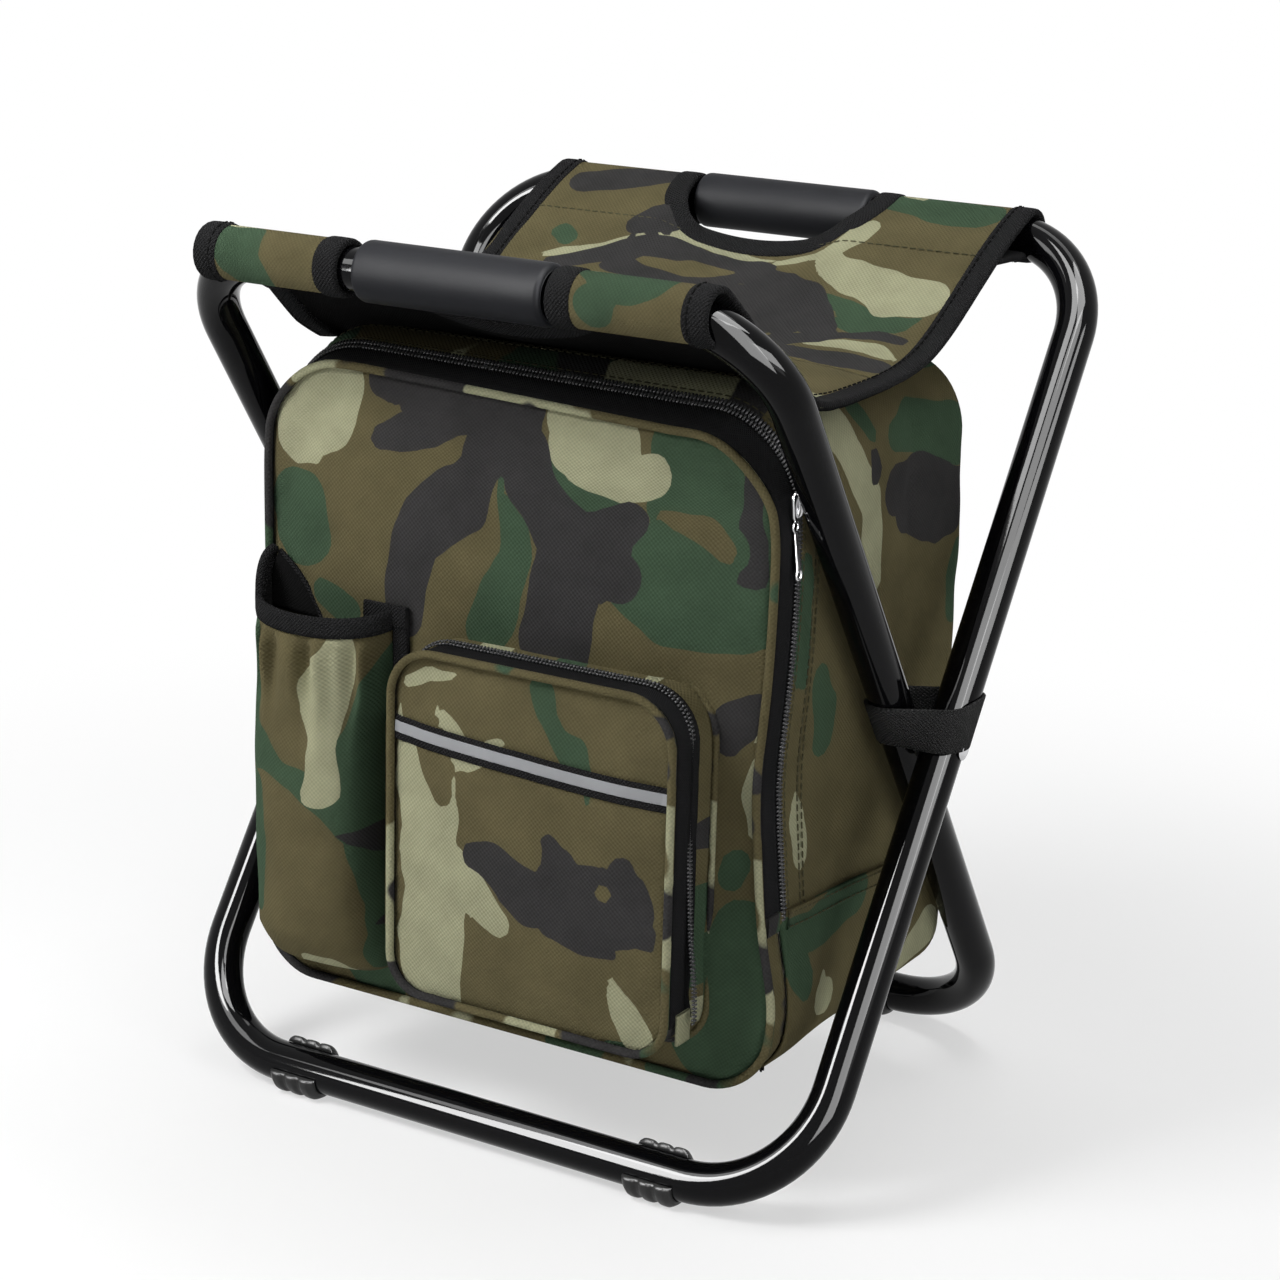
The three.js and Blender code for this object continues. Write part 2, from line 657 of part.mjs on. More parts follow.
const POCKET_LEFT = POCKET_CENTRE - POCKET_WIDTH / 2;
const POCKET_RIGHT = POCKET_CENTRE + POCKET_WIDTH / 2;
const POCKET_HIGH = POCKET_LOW + POCKET_HEIGHT;
const POCKET_FACE = FLAP_FACE - POCKET_DEPTH;
const POCKET_SPLIT = POCKET_FACE + POCKET_COVER_RIM;

function pocket() {
  const outline = roundedOutline(
    POCKET_LEFT, POCKET_RIGHT, POCKET_LOW, POCKET_HIGH, POCKET_LOW_CORNER, POCKET_HIGH_CORNER, CORNER_STEPS,
  );
  const arch = archOutline(
    POCKET_LEFT, POCKET_RIGHT, POCKET_ZIP_END, POCKET_HIGH, POCKET_HIGH_CORNER, CORNER_STEPS,
  );
  const coverBack = POCKET_SPLIT - GAP;
  const gussetFront = POCKET_SPLIT + GAP;
  const gussetBack = FLAP_FACE - GAP;
  const gusset = loft([
    ring(outline, 0, gussetFront),
    ring(outline, 0, gussetBack),
    ring(outline, -FABRIC, gussetBack),
    ring(outline, -FABRIC, gussetFront),
  ], true);
  add(stool, 'pocket_gusset', gusset, camouflage);
  add(stool, 'pocket_cover', cup(outline, FABRIC, 0, coverBack, POCKET_FACE, POCKET_EDGE), camouflage);
  add(stool, 'pocket_piping', tubeLoop(outline, PIPING_RADIUS, PIPING_SIDES, POCKET_FACE), camouflage);
  const tapes = [
    ['pocket_zip_tape_cover', coverBack - ZIP_TAPE_WIDTH, coverBack],
    ['pocket_zip_tape_base', gussetFront, gussetFront + ZIP_TAPE_WIDTH],
  ];
  for (const [name, front, back] of tapes) {
    add(stool, name, band(arch, GAP, GAP + ZIP_TAPE, front, back), zipCloth);
  }
  const stripWidth = POCKET_WIDTH - 2 * STRIP_MARGIN;
  const strip = new THREE.BoxGeometry(stripWidth, STRIP_THICK, STRIP_WIDTH);
  const stripMesh = add(stool, 'reflective_strip', strip, reflective);
  stripMesh.position.set(POCKET_CENTRE, POCKET_FACE - GAP - STRIP_THICK / 2, STRIP_HEIGHT);
}

// Bottle pocket: a D-shaped pouch on the flap's left, open at the top, with an elastic hem

const BOTTLE_LEFT = -(BAG_HALF_WIDTH - PIPING_RADIUS - GAP);
const BOTTLE_WIDTH = INNER_HALF_WIDTH + POCKET_LEFT - BOTTLE_ROOM;
const BOTTLE_CENTRE = BOTTLE_LEFT + BOTTLE_WIDTH / 2;

// One level of the pouch; grow is outward, dip lowers the front
function pouchRing(z, widthShare, depthShare, grow, dip) {
  const halfWidth = (BOTTLE_WIDTH / 2) * widthShare + grow;
  const depth = BOTTLE_DEPTH * depthShare + 2 * grow;
  return Array.from({ length: BOTTLE_STEPS + 1 }, (_, i) => {
    const angle = (Math.PI * i) / BOTTLE_STEPS;
    const bulge = Math.max(Math.sin(angle), 0) ** BOTTLE_FULLNESS;
    const x = BOTTLE_CENTRE + halfWidth * Math.cos(angle);
    return new THREE.Vector3(x, FLAP_FACE - GAP + grow - depth * bulge, z - dip * bulge);
  });
}

function bottlePocket() {
  const tall = BOTTLE_HIGH - BOTTLE_LOW;
  const outer = [
    pouchRing(BOTTLE_LOW, 0.8, 0.55, 0, 0),
    pouchRing(BOTTLE_LOW + 0.06 * tall, 0.95, 0.85, 0, 0),
    pouchRing(BOTTLE_LOW + 0.3 * tall, 1, 1, 0, 0),
    pouchRing(BOTTLE_LOW + 0.7 * tall, 1, 1, 0, BOTTLE_DIP / 2),
    pouchRing(BOTTLE_HIGH, 1, 0.93, 0, BOTTLE_DIP),
  ];
  const inner = [
    pouchRing(BOTTLE_HIGH, 1, 0.93, -FABRIC, BOTTLE_DIP),
    pouchRing(BOTTLE_LOW + 0.7 * tall, 1, 1, -FABRIC, BOTTLE_DIP / 2),
    pouchRing(BOTTLE_LOW + 0.3 * tall, 1, 1, -FABRIC, 0),
    pouchRing(BOTTLE_LOW + 0.06 * tall + FABRIC, 0.95, 0.85, -FABRIC, 0),
    pouchRing(BOTTLE_LOW + FABRIC, 0.8, 0.55, -FABRIC, 0),
  ];
  add(stool, 'bottle_pocket', loft([...outer, ...inner]), camouflage);
  const hem = [
    pouchRing(BOTTLE_HIGH + GAP, 1, 0.93, 0, BOTTLE_DIP),
    pouchRing(BOTTLE_HIGH + GAP + ELASTIC_HEIGHT, 1, 0.93, 0, BOTTLE_DIP),
    pouchRing(BOTTLE_HIGH + GAP + ELASTIC_HEIGHT, 1, 0.93, -FABRIC - ELASTIC_PROUD, BOTTLE_DIP),
    pouchRing(BOTTLE_HIGH + GAP, 1, 0.93, -FABRIC - ELASTIC_PROUD, BOTTLE_DIP),
  ];
  add(stool, 'bottle_pocket_elastic', loft(hem, true), blackCloth);
}

// Shoulder straps on the back

function shoulderPad() {
  const back = BAG_BACK + GAP;
  const inner = back + SHOULDER_REACH;
  const bend = SHOULDER_HIGH - SHOULDER_BEND;
  const seam = SHOULDER_HIGH - SHOULDER_SEAM;
  const shape = new THREE.Shape();
  shape.moveTo(back, seam);
  shape.quadraticCurveTo(inner, seam - SHOULDER_SEAM, inner, bend);
  shape.lineTo(inner, SHOULDER_LOW);
  shape.lineTo(inner + SHOULDER_PAD, SHOULDER_LOW);
  shape.lineTo(inner + SHOULDER_PAD, bend);
  shape.quadraticCurveTo(inner + SHOULDER_PAD, seam, back, SHOULDER_HIGH);
  shape.closePath();
  return runAlongX(shape, -SHOULDER_WIDTH / 2, SHOULDER_WIDTH / 2, 7);
}

// A flat buckle with two slots, hung below the pad
function adjuster() {
  const halfWidth = ADJUSTER_WIDTH / 2;
  const frame = roundedOutline(-halfWidth, halfWidth, 0, ADJUSTER_HEIGHT, ADJUSTER_RIB, ADJUSTER_RIB, 3);
  const shape = new THREE.Shape(frame.map(({ point }) => point));
  for (const low of [ADJUSTER_RIB, ADJUSTER_HEIGHT - ADJUSTER_RIB - ADJUSTER_SLOT]) {
    const slot = new THREE.Path();
    const half = ADJUSTER_WEBBING / 2;
    slot.moveTo(-half, low);
    slot.lineTo(-half, low + ADJUSTER_SLOT);
    slot.lineTo(half, low + ADJUSTER_SLOT);
    slot.lineTo(half, low);
    shape.holes.push(slot);
  }
  const options = { depth: ADJUSTER_THICK, bevelEnabled: false };
  return new THREE.ExtrudeGeometry(shape, options).rotateX(Math.PI / 2);
}

// Webbing from behind the buckle down to the bag's back
function shoulderWebbing(topY) {
  const back = BAG_BACK + GAP;
  const high = SHOULDER_LOW - GAP;
  const shape = new THREE.Shape();
  shape.moveTo(back, WEBBING_FOOT);
  shape.lineTo(back + WEBBING, WEBBING_FOOT);
  shape.lineTo(back + WEBBING, WEBBING_FOOT + WEBBING_SEAM);
  shape.lineTo(topY, high - ADJUSTER_HEIGHT);
  shape.lineTo(topY, high);
  shape.lineTo(topY - WEBBING, high);
  shape.lineTo(topY - WEBBING, high - ADJUSTER_HEIGHT);
  shape.lineTo(back, WEBBING_FOOT + WEBBING_SEAM);
  shape.closePath();
  return runAlongX(shape, -ADJUSTER_WEBBING / 2, ADJUSTER_WEBBING / 2);
}

function shoulderStraps() {
  const buckleBack = BAG_BACK + GAP + SHOULDER_REACH + (SHOULDER_PAD + ADJUSTER_THICK) / 2;
  for (const [name, x] of [['left', -SHOULDER_CENTRE], ['right', SHOULDER_CENTRE]]) {
    add(stool, `shoulder_strap_${name}`, shoulderPad(), blackCloth).position.x = x;
    const buckle = add(stool, `strap_adjuster_${name}`, adjuster(), clipPlastic);
    buckle.position.set(x, buckleBack, SHOULDER_LOW - GAP - ADJUSTER_HEIGHT);
    const webbing = shoulderWebbing(buckleBack - ADJUSTER_THICK - GAP);
    add(stool, `strap_webbing_${name}`, webbing, blackCloth).position.x = x;
  }
}

const outerFrame = frameWithGrip(1, OUTER_HALF_WIDTH, 'outer_frame', 'rear_grip');
const innerFrame = frameWithGrip(-1, INNER_HALF_WIDTH, 'inner_frame', 'front_grip');
pivots();
feet();
seat([
  { end: 'rear', side: 1, halfWidth: OUTER_HALF_WIDTH, frame: outerFrame },
  { end: 'front', side: -1, halfWidth: INNER_HALF_WIDTH, frame: innerFrame },
]);
frameStraps();
bag();
flap();
zipSlider('main_zip', BAG_HALF_WIDTH + GAP + ZIP_TAPE, 1, ZIP_LINE, SLIDER_HEIGHT);
pocket();
zipSlider('pocket_zip', POCKET_LEFT - GAP - ZIP_TAPE, -1, POCKET_SPLIT, POCKET_SLIDER_HEIGHT);
bottlePocket();
shoulderStraps();

export default stool;
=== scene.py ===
"""Looks of a folding cooler stool: tube frames, sling seat and an insulated bag with pockets.

Shapes are worked out in millimetres in the part's own frame (+Z up, -Y to the front) and placed in metres.
"""

import math

import bpy
import numpy as np
from mathutils import Matrix, Vector, noise


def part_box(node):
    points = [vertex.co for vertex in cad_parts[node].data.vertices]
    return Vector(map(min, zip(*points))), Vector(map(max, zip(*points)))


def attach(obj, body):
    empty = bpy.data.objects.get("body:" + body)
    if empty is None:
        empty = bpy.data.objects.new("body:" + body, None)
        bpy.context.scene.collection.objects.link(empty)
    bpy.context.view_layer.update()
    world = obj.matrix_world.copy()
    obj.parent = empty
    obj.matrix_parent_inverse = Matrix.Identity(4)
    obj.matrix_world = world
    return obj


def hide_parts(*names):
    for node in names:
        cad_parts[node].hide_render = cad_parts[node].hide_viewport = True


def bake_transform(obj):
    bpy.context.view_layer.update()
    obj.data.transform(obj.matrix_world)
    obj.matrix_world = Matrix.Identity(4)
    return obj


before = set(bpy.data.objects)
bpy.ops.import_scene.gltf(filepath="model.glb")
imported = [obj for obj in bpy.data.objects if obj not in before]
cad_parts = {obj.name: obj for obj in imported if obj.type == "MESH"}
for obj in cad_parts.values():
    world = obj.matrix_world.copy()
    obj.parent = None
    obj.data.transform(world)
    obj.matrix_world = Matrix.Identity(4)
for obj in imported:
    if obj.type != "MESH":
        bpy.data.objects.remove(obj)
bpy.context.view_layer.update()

MM = 0.001
TO_FRONT = (0, -1, 0)


def span(name):
    """Lowest and highest corner of a CAD node, in millimetres."""
    low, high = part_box(name)
    return np.array(low) / MM, np.array(high) / MM


def centre_and_half(name):
    """Middle and half size of a CAD node's box."""
    low, high = span(name)
    return (low + high) / 2, (high - low) / 2


# Sizes taken from the frame, in millimetres

bag_low, bag_high = span("bag_shell")
flap_low, flap_high = span("front_flap")
pocket_low, pocket_high = span("pocket_cover")
gusset_low, gusset_high = span("pocket_gusset")
bottle_low, bottle_high = span("bottle_pocket")
outer_low, outer_high = span("outer_frame")
inner_high = span("inner_frame")[1]
rear_rail = centre_and_half("rear_grip")[0]
seat_low, seat_high = span("seat_panel")

# Sizes of the product that the boxes don't give

TUBE_RADIUS = 9.5
TOP_BEND = 48
BOTTOM_BEND = 55
BAG_LOW_CORNER = 25
BAG_HIGH_CORNER = 40
BACK_EDGE = 14
BACK_EDGE_END = 78
ZIP_END = 131
PIPING_RADIUS = 1.9
PIPING_PROUD = 1.4
SEAM_TUCK = 1.2
HAND_HALF_WIDTH = 50
HAND_DEPTH = 33
HAND_CORNER = 22
BINDING_WIDTH = 12.0

PIVOT_HEIGHT = centre_and_half("pivot_washer_right")[0][2]
OUTER_HALF_WIDTH = outer_high[0] - TUBE_RADIUS
INNER_HALF_WIDTH = inner_high[0] - TUBE_RADIUS
RAIL_SPREAD, RAIL_HEIGHT = rear_rail[1:]
FOOT_HEIGHT = outer_low[2] + TUBE_RADIUS
FOOT_SPREAD = -outer_low[1] - TUBE_RADIUS
LEAN = math.atan2(RAIL_SPREAD + FOOT_SPREAD, RAIL_HEIGHT - FOOT_HEIGHT)
UPPER_ARM = RAIL_SPREAD / math.sin(LEAN)
LOWER_ARM = FOOT_SPREAD / math.sin(LEAN)
BAG_HALF_WIDTH = bag_high[0]
BAG_FLOOR = bag_low[2]
BAG_TOP = bag_high[2]
BAG_BACK = bag_high[1]
BAG_OUTLINE = (-BAG_HALF_WIDTH, BAG_HALF_WIDTH, BAG_FLOOR, BAG_TOP)
BAG_CORNERS = (BAG_LOW_CORNER, BAG_HIGH_CORNER)
ZIP_LINE = (bag_low[1] + flap_high[1]) / 2
FLAP_FACE = flap_low[1]
POCKET_FACE = pocket_low[1]
POCKET_SPLIT = (pocket_high[1] + gusset_low[1]) / 2
SEAT_HALF_WIDTH = seat_high[0]


# Lines and grids of points

def upright(line, y):
    """Points (x, z) stood at a depth."""
    return np.stack([line[..., 0], np.broadcast_to(y, line.shape[:-1]), line[..., 1]], axis=-1)


def sideways(line, x):
    """Points (y, z) stood at a place across."""
    return np.stack([np.broadcast_to(x, line.shape[:-1]), line[..., 0], line[..., 1]], axis=-1)


def run_lengths(points):
    """Distance along a line to each of its points."""
    return np.concatenate([[0.0], np.cumsum(np.linalg.norm(np.diff(points, axis=0), axis=1))])


def between(at, known, values):
    """Rows of values, known at some distances, at other distances."""
    return np.stack([np.interp(at, known, column) for column in values.T], axis=1)


def resample(points, step=None, closed=False, count=None):
    """Points at equal distances along a line, a given number of steps or steps of about a given length."""
    points = np.asarray(points, float)
    if closed:
        points = np.vstack([points, points[:1]])
    known = run_lengths(points)
    count = count or max(2, int(round(known[-1] / step)))
    at = np.linspace(0, known[-1], count + 1)
    return between(at[:-1] if closed else at, known, points)


def tangents(points, closed=False):
    points = np.asarray(points, float)
    if closed:
        ahead = np.roll(points, -1, axis=0) - np.roll(points, 1, axis=0)
    else:
        ahead = np.gradient(points, axis=0)
    return ahead / np.maximum(np.linalg.norm(ahead, axis=1, keepdims=True), 1e-9)


def normals(line, closed=False):
    """Directions to the right of a flat line, outwards where it runs anticlockwise."""
    ahead = tangents(line, closed)
    return np.stack([ahead[:, 1], -ahead[:, 0]], axis=1)


def arc(x, z, radius, start, end, steps):
    angles = np.radians(np.linspace(start, end, steps + 1))
    return np.stack([x + radius * np.cos(angles), z + radius * np.sin(angles)], axis=1)


def loop(left, right, low, high, low_corner, high_corner, steps=16):
    """A rectangle with round corners, from low right anticlockwise."""
    return np.vstack([
        arc(right - low_corner, low + low_corner, low_corner, -90, 0, steps),
        arc(right - high_corner, high - high_corner, high_corner, 0, 90, steps),
        arc(left + high_corner, high - high_corner, high_corner, 90, 180, steps),
        arc(left + low_corner, low + low_corner, low_corner, 180, 270, steps),
    ])


def rounded(left, right, low, high, low_corner, high_corner, step):
    """Points and outward normals round a rectangle with round corners."""
    line = resample(loop(left, right, low, high, low_corner, high_corner), step, closed=True)
    return line, normals(line, closed=True)


def arch(left, right, end, high, corner, step):
    """Points and outward normals up one side, over the top and down the other."""
    line = resample(np.vstack([
        [[right, end]],
        arc(right - corner, high - corner, corner, 0, 90, 16),
        arc(left + corner, high - corner, corner, 90, 180, 16),
        [[left, end]],
    ]), step)
    return line, normals(line)


def band_points(stations, offsets_and_depths):
    """Grid of outline stations x (offset, y) pairs."""
    line, normal = stations
    return np.stack([upright(line + normal * offset, y) for offset, y in offsets_and_depths], axis=1)


def rounded_grid(outline, corners, inset, step):
    """Grid of (x, z) that fills a rectangle with round corners, drawn in by an inset; rows run along z."""
    left, right, low, high = np.array(outline) + inset * np.array([1, -1, 1, -1])
    low_corner, high_corner = corners
    levels = [low + low_corner * (1 - math.cos(a)) for a in np.radians(np.linspace(0, 90, 9))]
    count = int((high - high_corner - low - low_corner) / step)
    levels += list(np.linspace(low + low_corner, high - high_corner, count + 1)[1:])
    levels += [high - high_corner * (1 - math.sin(a)) for a in np.radians(np.linspace(0, 90, 11))[1:]]
    columns = int((right - left) / step)
    rows = []
    for z in levels:
        drawn = 0.0
        if z < low + low_corner:
            drawn = low_corner - math.sqrt(max(low_corner ** 2 - (low + low_corner - z) ** 2, 0))
        if z > high - high_corner:
            drawn = high_corner - math.sqrt(max(high_corner ** 2 - (z - high + high_corner) ** 2, 0))
        x = np.linspace(left + drawn, right - drawn, columns + 1)
        rows.append(np.stack([x, np.full(columns + 1, z)], axis=1))
    return np.array(rows)


def crown_of(face, outline, power=2.6):
    """1 in a panel's middle and 0 along its edges."""
    left, right, low, high = outline
    x = (2 * face[..., 0] - left - right) / (right - left)
    z = (2 * face[..., 1] - low - high) / (high - low)
    return (1 - np.abs(np.clip(x, -1, 1)) ** power) * (1 - np.abs(np.clip(z, -1, 1)) ** power)


def bezier(start, control, end, count):
    t = np.linspace(0, 1, count)[:, None]
    return (1 - t) ** 2 * np.array(start) + 2 * t * (1 - t) * np.array(control) + t ** 2 * np.array(end)


def circle(radius, sides):
    angles = np.linspace(0, 2 * math.pi, sides, endpoint=False)
    return [(radius * math.cos(a), radius * math.sin(a)) for a in angles]


def pillow(width, thickness, sides=16, power=4.0):
    """A flat oval with nearly square ends, for webbing and binding."""
    def swell(size, share):
        return size / 2 * math.copysign(abs(share) ** (2 / power), share)
    return [(swell(width, c), swell(thickness, s)) for c, s in circle(1.0, sides)]


def sweep(path, up, section, closed=False):
    """Grid of a section carried along a path; section pairs are (across, up)."""
    path = np.asarray(path, float)
    up = np.broadcast_to(np.asarray(up, float), path.shape)
    ahead = tangents(path, closed)
    across = np.cross(ahead, up)
    across /= np.maximum(np.linalg.norm(across, axis=1, keepdims=True), 1e-9)
    up = np.cross(across, ahead)
    return np.stack([path + across * a + up * b for a, b in section], axis=1)


def ripple(points, scale, amount, seed):
    """Smooth noise at each point, for slack cloth."""
    flat = np.asarray(points, float).reshape(-1, 3) / scale + seed
    values = [noise.noise(Vector(p)) for p in flat]
    return amount * np.array(values).reshape(np.asarray(points).shape[:-1])


def bump(x, centre, reach, height=1.0):
    return height * np.exp(-((x - centre) / reach) ** 2)


def fade(x, start, length):
    """0 up to a place and 1 a length beyond it, smooth between; a negative length runs the other way."""
    share = np.clip((x - start) / length, 0, 1)
    return share * share * (3 - 2 * share)


# Pieces made of points

def put(made, body, slot, *stands_for):
    """Has a piece ride a body and stand for CAD nodes where they are named; its slot is not used."""
    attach(made, body)
    if stands_for:
        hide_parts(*stands_for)
    return made


def camo(made, body, *stands_for):
    return put(made, body, "camouflage_cloth", *stands_for)


def black(made, body, *stands_for):
    return put(made, body, "black_webbing", *stands_for)


def steel(made, body, *stands_for):
    return put(made, body, "bright_steel", *stands_for)


def add_mesh(name, points, faces, material, uvs=None):
    mesh = bpy.data.meshes.new(name)
    mesh.from_pydata((np.asarray(points, float) * MM).tolist(), [], faces)
    mesh.materials.append(material)
    if uvs is not None:
        layer = mesh.uv_layers.new(name="cloth")
        layer.data.foreach_set("uv", (np.asarray(uvs, np.float32) * MM).ravel())
    mesh.polygons.foreach_set("use_smooth", [True] * len(mesh.polygons))
    mesh.update()
    made = bpy.data.objects.new(name, mesh)
    bpy.context.scene.collection.objects.link(made)
    return made


def places(made):
    """A piece's points in millimetres."""
    return np.array([v.co for v in made.data.vertices]) / MM


def grid_faces(rows, columns, around=False, along=False):
    """Quads over a grid of rows x columns points; around closes the rows, along closes the columns."""
    faces, corners = [], []
    for i in range(rows if around else rows - 1):
        for j in range(columns if along else columns - 1):
            ring = [(i, j), (i + 1, j), (i + 1, j + 1), (i, j + 1)]
            faces.append([(a % rows) * columns + b % columns for a, b in ring])
            corners.extend(ring)
    return faces, corners


def cloth_lengths(points, axis, closed):
    """Mean distance along one axis of a point grid, with the closing step where the grid is closed."""
    if closed:
        points = np.concatenate([points, np.take(points, [0], axis=axis)], axis=axis)
    steps = np.linalg.norm(np.diff(points, axis=axis), axis=2).mean(axis=1 - axis)
    return np.concatenate([[0.0], np.cumsum(steps)])


def grid(name, points, material, around=False, along=False, uv=None, caps=False):
    """A quad mesh over points[i, j]; UVs are lengths along the cloth unless uv[i, j] gives them."""
    points = np.asarray(points, float)
    rows, columns = points.shape[:2]
    faces, corners = grid_faces(rows, columns, around, along)
    if uv is None:
        u, v = cloth_lengths(points, 0, around), cloth_lengths(points, 1, along)
        uvs = [(u[a], v[b]) for a, b in corners]
    else:
        uvs = [uv[a % rows][b % columns] for a, b in corners]
    if caps:
        ring = np.arange(columns)
        faces += [ring[::-1].tolist(), ((rows - 1) * columns + ring).tolist()]
        uvs += [(0.0, 0.0)] * (2 * columns)
    made = add_mesh(name, points.reshape(-1, 3), faces, material, uvs)
    face_out(made)
    return made


def face_out(made):
    """Turns a closed mesh's faces outwards."""
    made.data.calc_loop_triangles()
    corners = np.array([t.vertices[:] for t in made.data.loop_triangles])
    points = places(made)
    a, b, c = (points[corners[:, k]] - points.mean(0) for k in range(3))
    if (a * np.cross(b, c)).sum() < 0:
        made.data.flip_normals()


def thicken(made, thickness, offset=-1.0, inside=None):
    """Gives a sheet its thickness; inside is the material of its other face."""
    solid = made.modifiers.new("thickness", "SOLIDIFY")
    solid.thickness = thickness * MM
    solid.offset = offset
    solid.use_even_offset = False
    if inside is not None:
        made.data.materials.append(inside)
        solid.material_offset = 1
        solid.material_offset_rim = 1
    return made


def swept(name, path, up, section, material, closed=False):
    points = sweep(path, up, section, closed)
    return grid(name, points, material, around=closed, along=True, caps=not closed)


CAPSULE_LEVELS = ((0.0, 0.35), (0.12, 0.9), (0.88, 0.9), (1.0, 0.35))
CAPSULE_SIDES = 6
ANY_DIRECTION = (0.31, 0.53, 0.79)
STITCH = 3.2
STITCH_GAP = 1.2
STITCH_LIFT = 0.25
STITCH_RADIUS = 0.42


def capsules(name, starts, ends, radius, material):
    """Many short round-ended rods in one mesh, for stitches and zip teeth."""
    rod = [face[::-1] for face in grid_faces(len(CAPSULE_LEVELS), CAPSULE_SIDES, along=True)[0]]
    ring = np.arange(CAPSULE_SIDES)
    rod += [ring[::-1].tolist(), ((len(CAPSULE_LEVELS) - 1) * CAPSULE_SIDES + ring).tolist()]
    points, faces = [], []
    for start, end in zip(np.asarray(starts, float), np.asarray(ends, float)):
        ahead = (end - start) / max(np.linalg.norm(end - start), 1e-9)
        side = np.cross(ahead, ANY_DIRECTION)
        side /= np.linalg.norm(side)
        other = np.cross(ahead, side)
        faces += [[len(points) + k for k in face] for face in rod]
        for share, size in CAPSULE_LEVELS:
            points += [start + (end - start) * share + radius * size * (side * c + other * s)
                       for c, s in circle(1.0, CAPSULE_SIDES)]
    return add_mesh(name, np.array(points), faces, material)


def stitches(name, path, up, material):
    """A row of stitches along a path, lifted off the cloth."""
    line = resample(path, (STITCH + STITCH_GAP) / 2)
    up = np.broadcast_to(np.asarray(up, float), np.asarray(path).shape)
    line = line + between(np.linspace(0, 1, len(line)), np.linspace(0, 1, len(up)), up) * STITCH_LIFT
    starts = line[0:-2:2]
    ends = starts + (line[2::2][:len(starts)] - starts) * STITCH / (STITCH + STITCH_GAP)
    return capsules(name, starts, ends, STITCH_RADIUS, material)


SETTLE_FRAMES = 24
CLOTH_SETTINGS = {
    "quality": 8, "mass": 0.25, "tension_stiffness": 25, "compression_stiffness": 25, "shear_stiffness": 10,
    "bending_stiffness": 0.6, "vertex_group_mass": "seams", "use_pressure": True,
}


def settle(made, rows, columns, pressure, grow, cap):
    """Lets a panel swell by cloth simulation with its border held, and keeps the shape up to a cap."""
    index = np.arange(rows * columns).reshape(rows, columns)
    border = np.unique(np.concatenate([index[0], index[-1], index[:, 0], index[:, -1]]))
    seams = made.vertex_groups.new(name="seams")
    seams.add(border.tolist(), 1.0, "REPLACE")
    cloth = made.modifiers.new("cloth", "CLOTH")
    for key, value in CLOTH_SETTINGS.items():
        setattr(cloth.settings, key, value)
    cloth.settings.shrink_min = -grow
    cloth.settings.uniform_pressure_force = pressure
    cloth.settings.effector_weights.gravity = 0
    cloth.collision_settings.use_collision = False
    cloth.point_cache.frame_start = 1
    cloth.point_cache.frame_end = SETTLE_FRAMES
    for number in range(1, SETTLE_FRAMES + 1):
        bpy.context.scene.frame_set(number)
    made.update_tag()
    shaped = made.evaluated_get(bpy.context.evaluated_depsgraph_get()).to_mesh()
    start = np.array([v.co for v in made.data.vertices])
    move = np.array([v.co for v in shaped.vertices]) - start
    reach = np.linalg.norm(move, axis=1, keepdims=True)
    move *= np.minimum(1.0, cap * MM / np.maximum(reach, 1e-9))
    made.modifiers.remove(cloth)
    made.vertex_groups.remove(seams)
    bpy.context.scene.frame_set(1)
    made.data.vertices.foreach_set("co", (start + move).astype(np.float32).ravel())
    made.data.update()


def face_depth(cover, x, z):
    """Where a settled face lies behind points given across and up."""
    face = places(cover)
    away = (face[:, 0] - x[:, None]) ** 2 + (face[:, 2] - z[:, None]) ** 2
    weight = 1 / (away + 2.0) ** 3
    return (weight * face[:, 1]).sum(1) / weight.sum(1)


# Materials

KHAKI = (0.29, 0.29, 0.185)
BROWN = (0.1, 0.086, 0.044)
GREEN = (0.045, 0.075, 0.045)
CHARCOAL = (0.036, 0.035, 0.035)
FILM = (0.4, 0.415, 0.43)
PRINT_WANDER = 24.0
PRINT_EDGE = 0.12
PRINT_BEND = (0.03, 0.03, 0.0)
PRINT_STRETCH = (1.0, 0.75, 1.0)
PRINT_LAYERS = (("Y", GREEN, 12.0, 0.8, 2.3), ("X", KHAKI, 13.0, 1.9, 5.1), ("Z", CHARCOAL, 12.5, 1.8, 8.7))
YARN_SHADE = 0.13
GRIME = 0.25


def new_tree(name):
    made = bpy.data.materials.new(name)
    made.use_nodes = True
    return made, made.node_tree


def feed(tree, socket, value):
    """Links a node or an output to an input, or sets a constant on it."""
    if isinstance(value, bpy.types.Node):
        value = value.outputs[0]
    if isinstance(value, bpy.types.NodeSocket):
        tree.links.new(value, socket)
    elif socket.type == "RGBA":
        socket.default_value = (*value, 1.0)
    else:
        socket.default_value = value


def add(tree, kind, *inputs, **settings):
    """A new node; inputs go in the node's order, settings are inputs by name or its own properties."""
    made = tree.nodes.new("ShaderNode" + kind)
    for key, value in settings.items():
        if key in made.inputs:
            feed(tree, made.inputs[key], value)
        else:
            setattr(made, key, value)
    for socket, value in zip(made.inputs, inputs):
        feed(tree, socket, value)
    return made


def calc(tree, operation, *values):
    return add(tree, "Math", *values, operation=operation)


def scaled(tree, colour, level):
    return add(tree, "VectorMath", colour, operation="SCALE", Scale=level)


def clouds(tree, vector, scale, detail, roughness):
    return add(tree, "TexNoise", vector, Scale=scale, Detail=detail, Roughness=roughness)


def dress(tree, inputs):
    """Sets inputs of a material's shader."""
    for key, value in inputs.items():
        feed(tree, tree.nodes["Principled BSDF"].inputs[key], value)


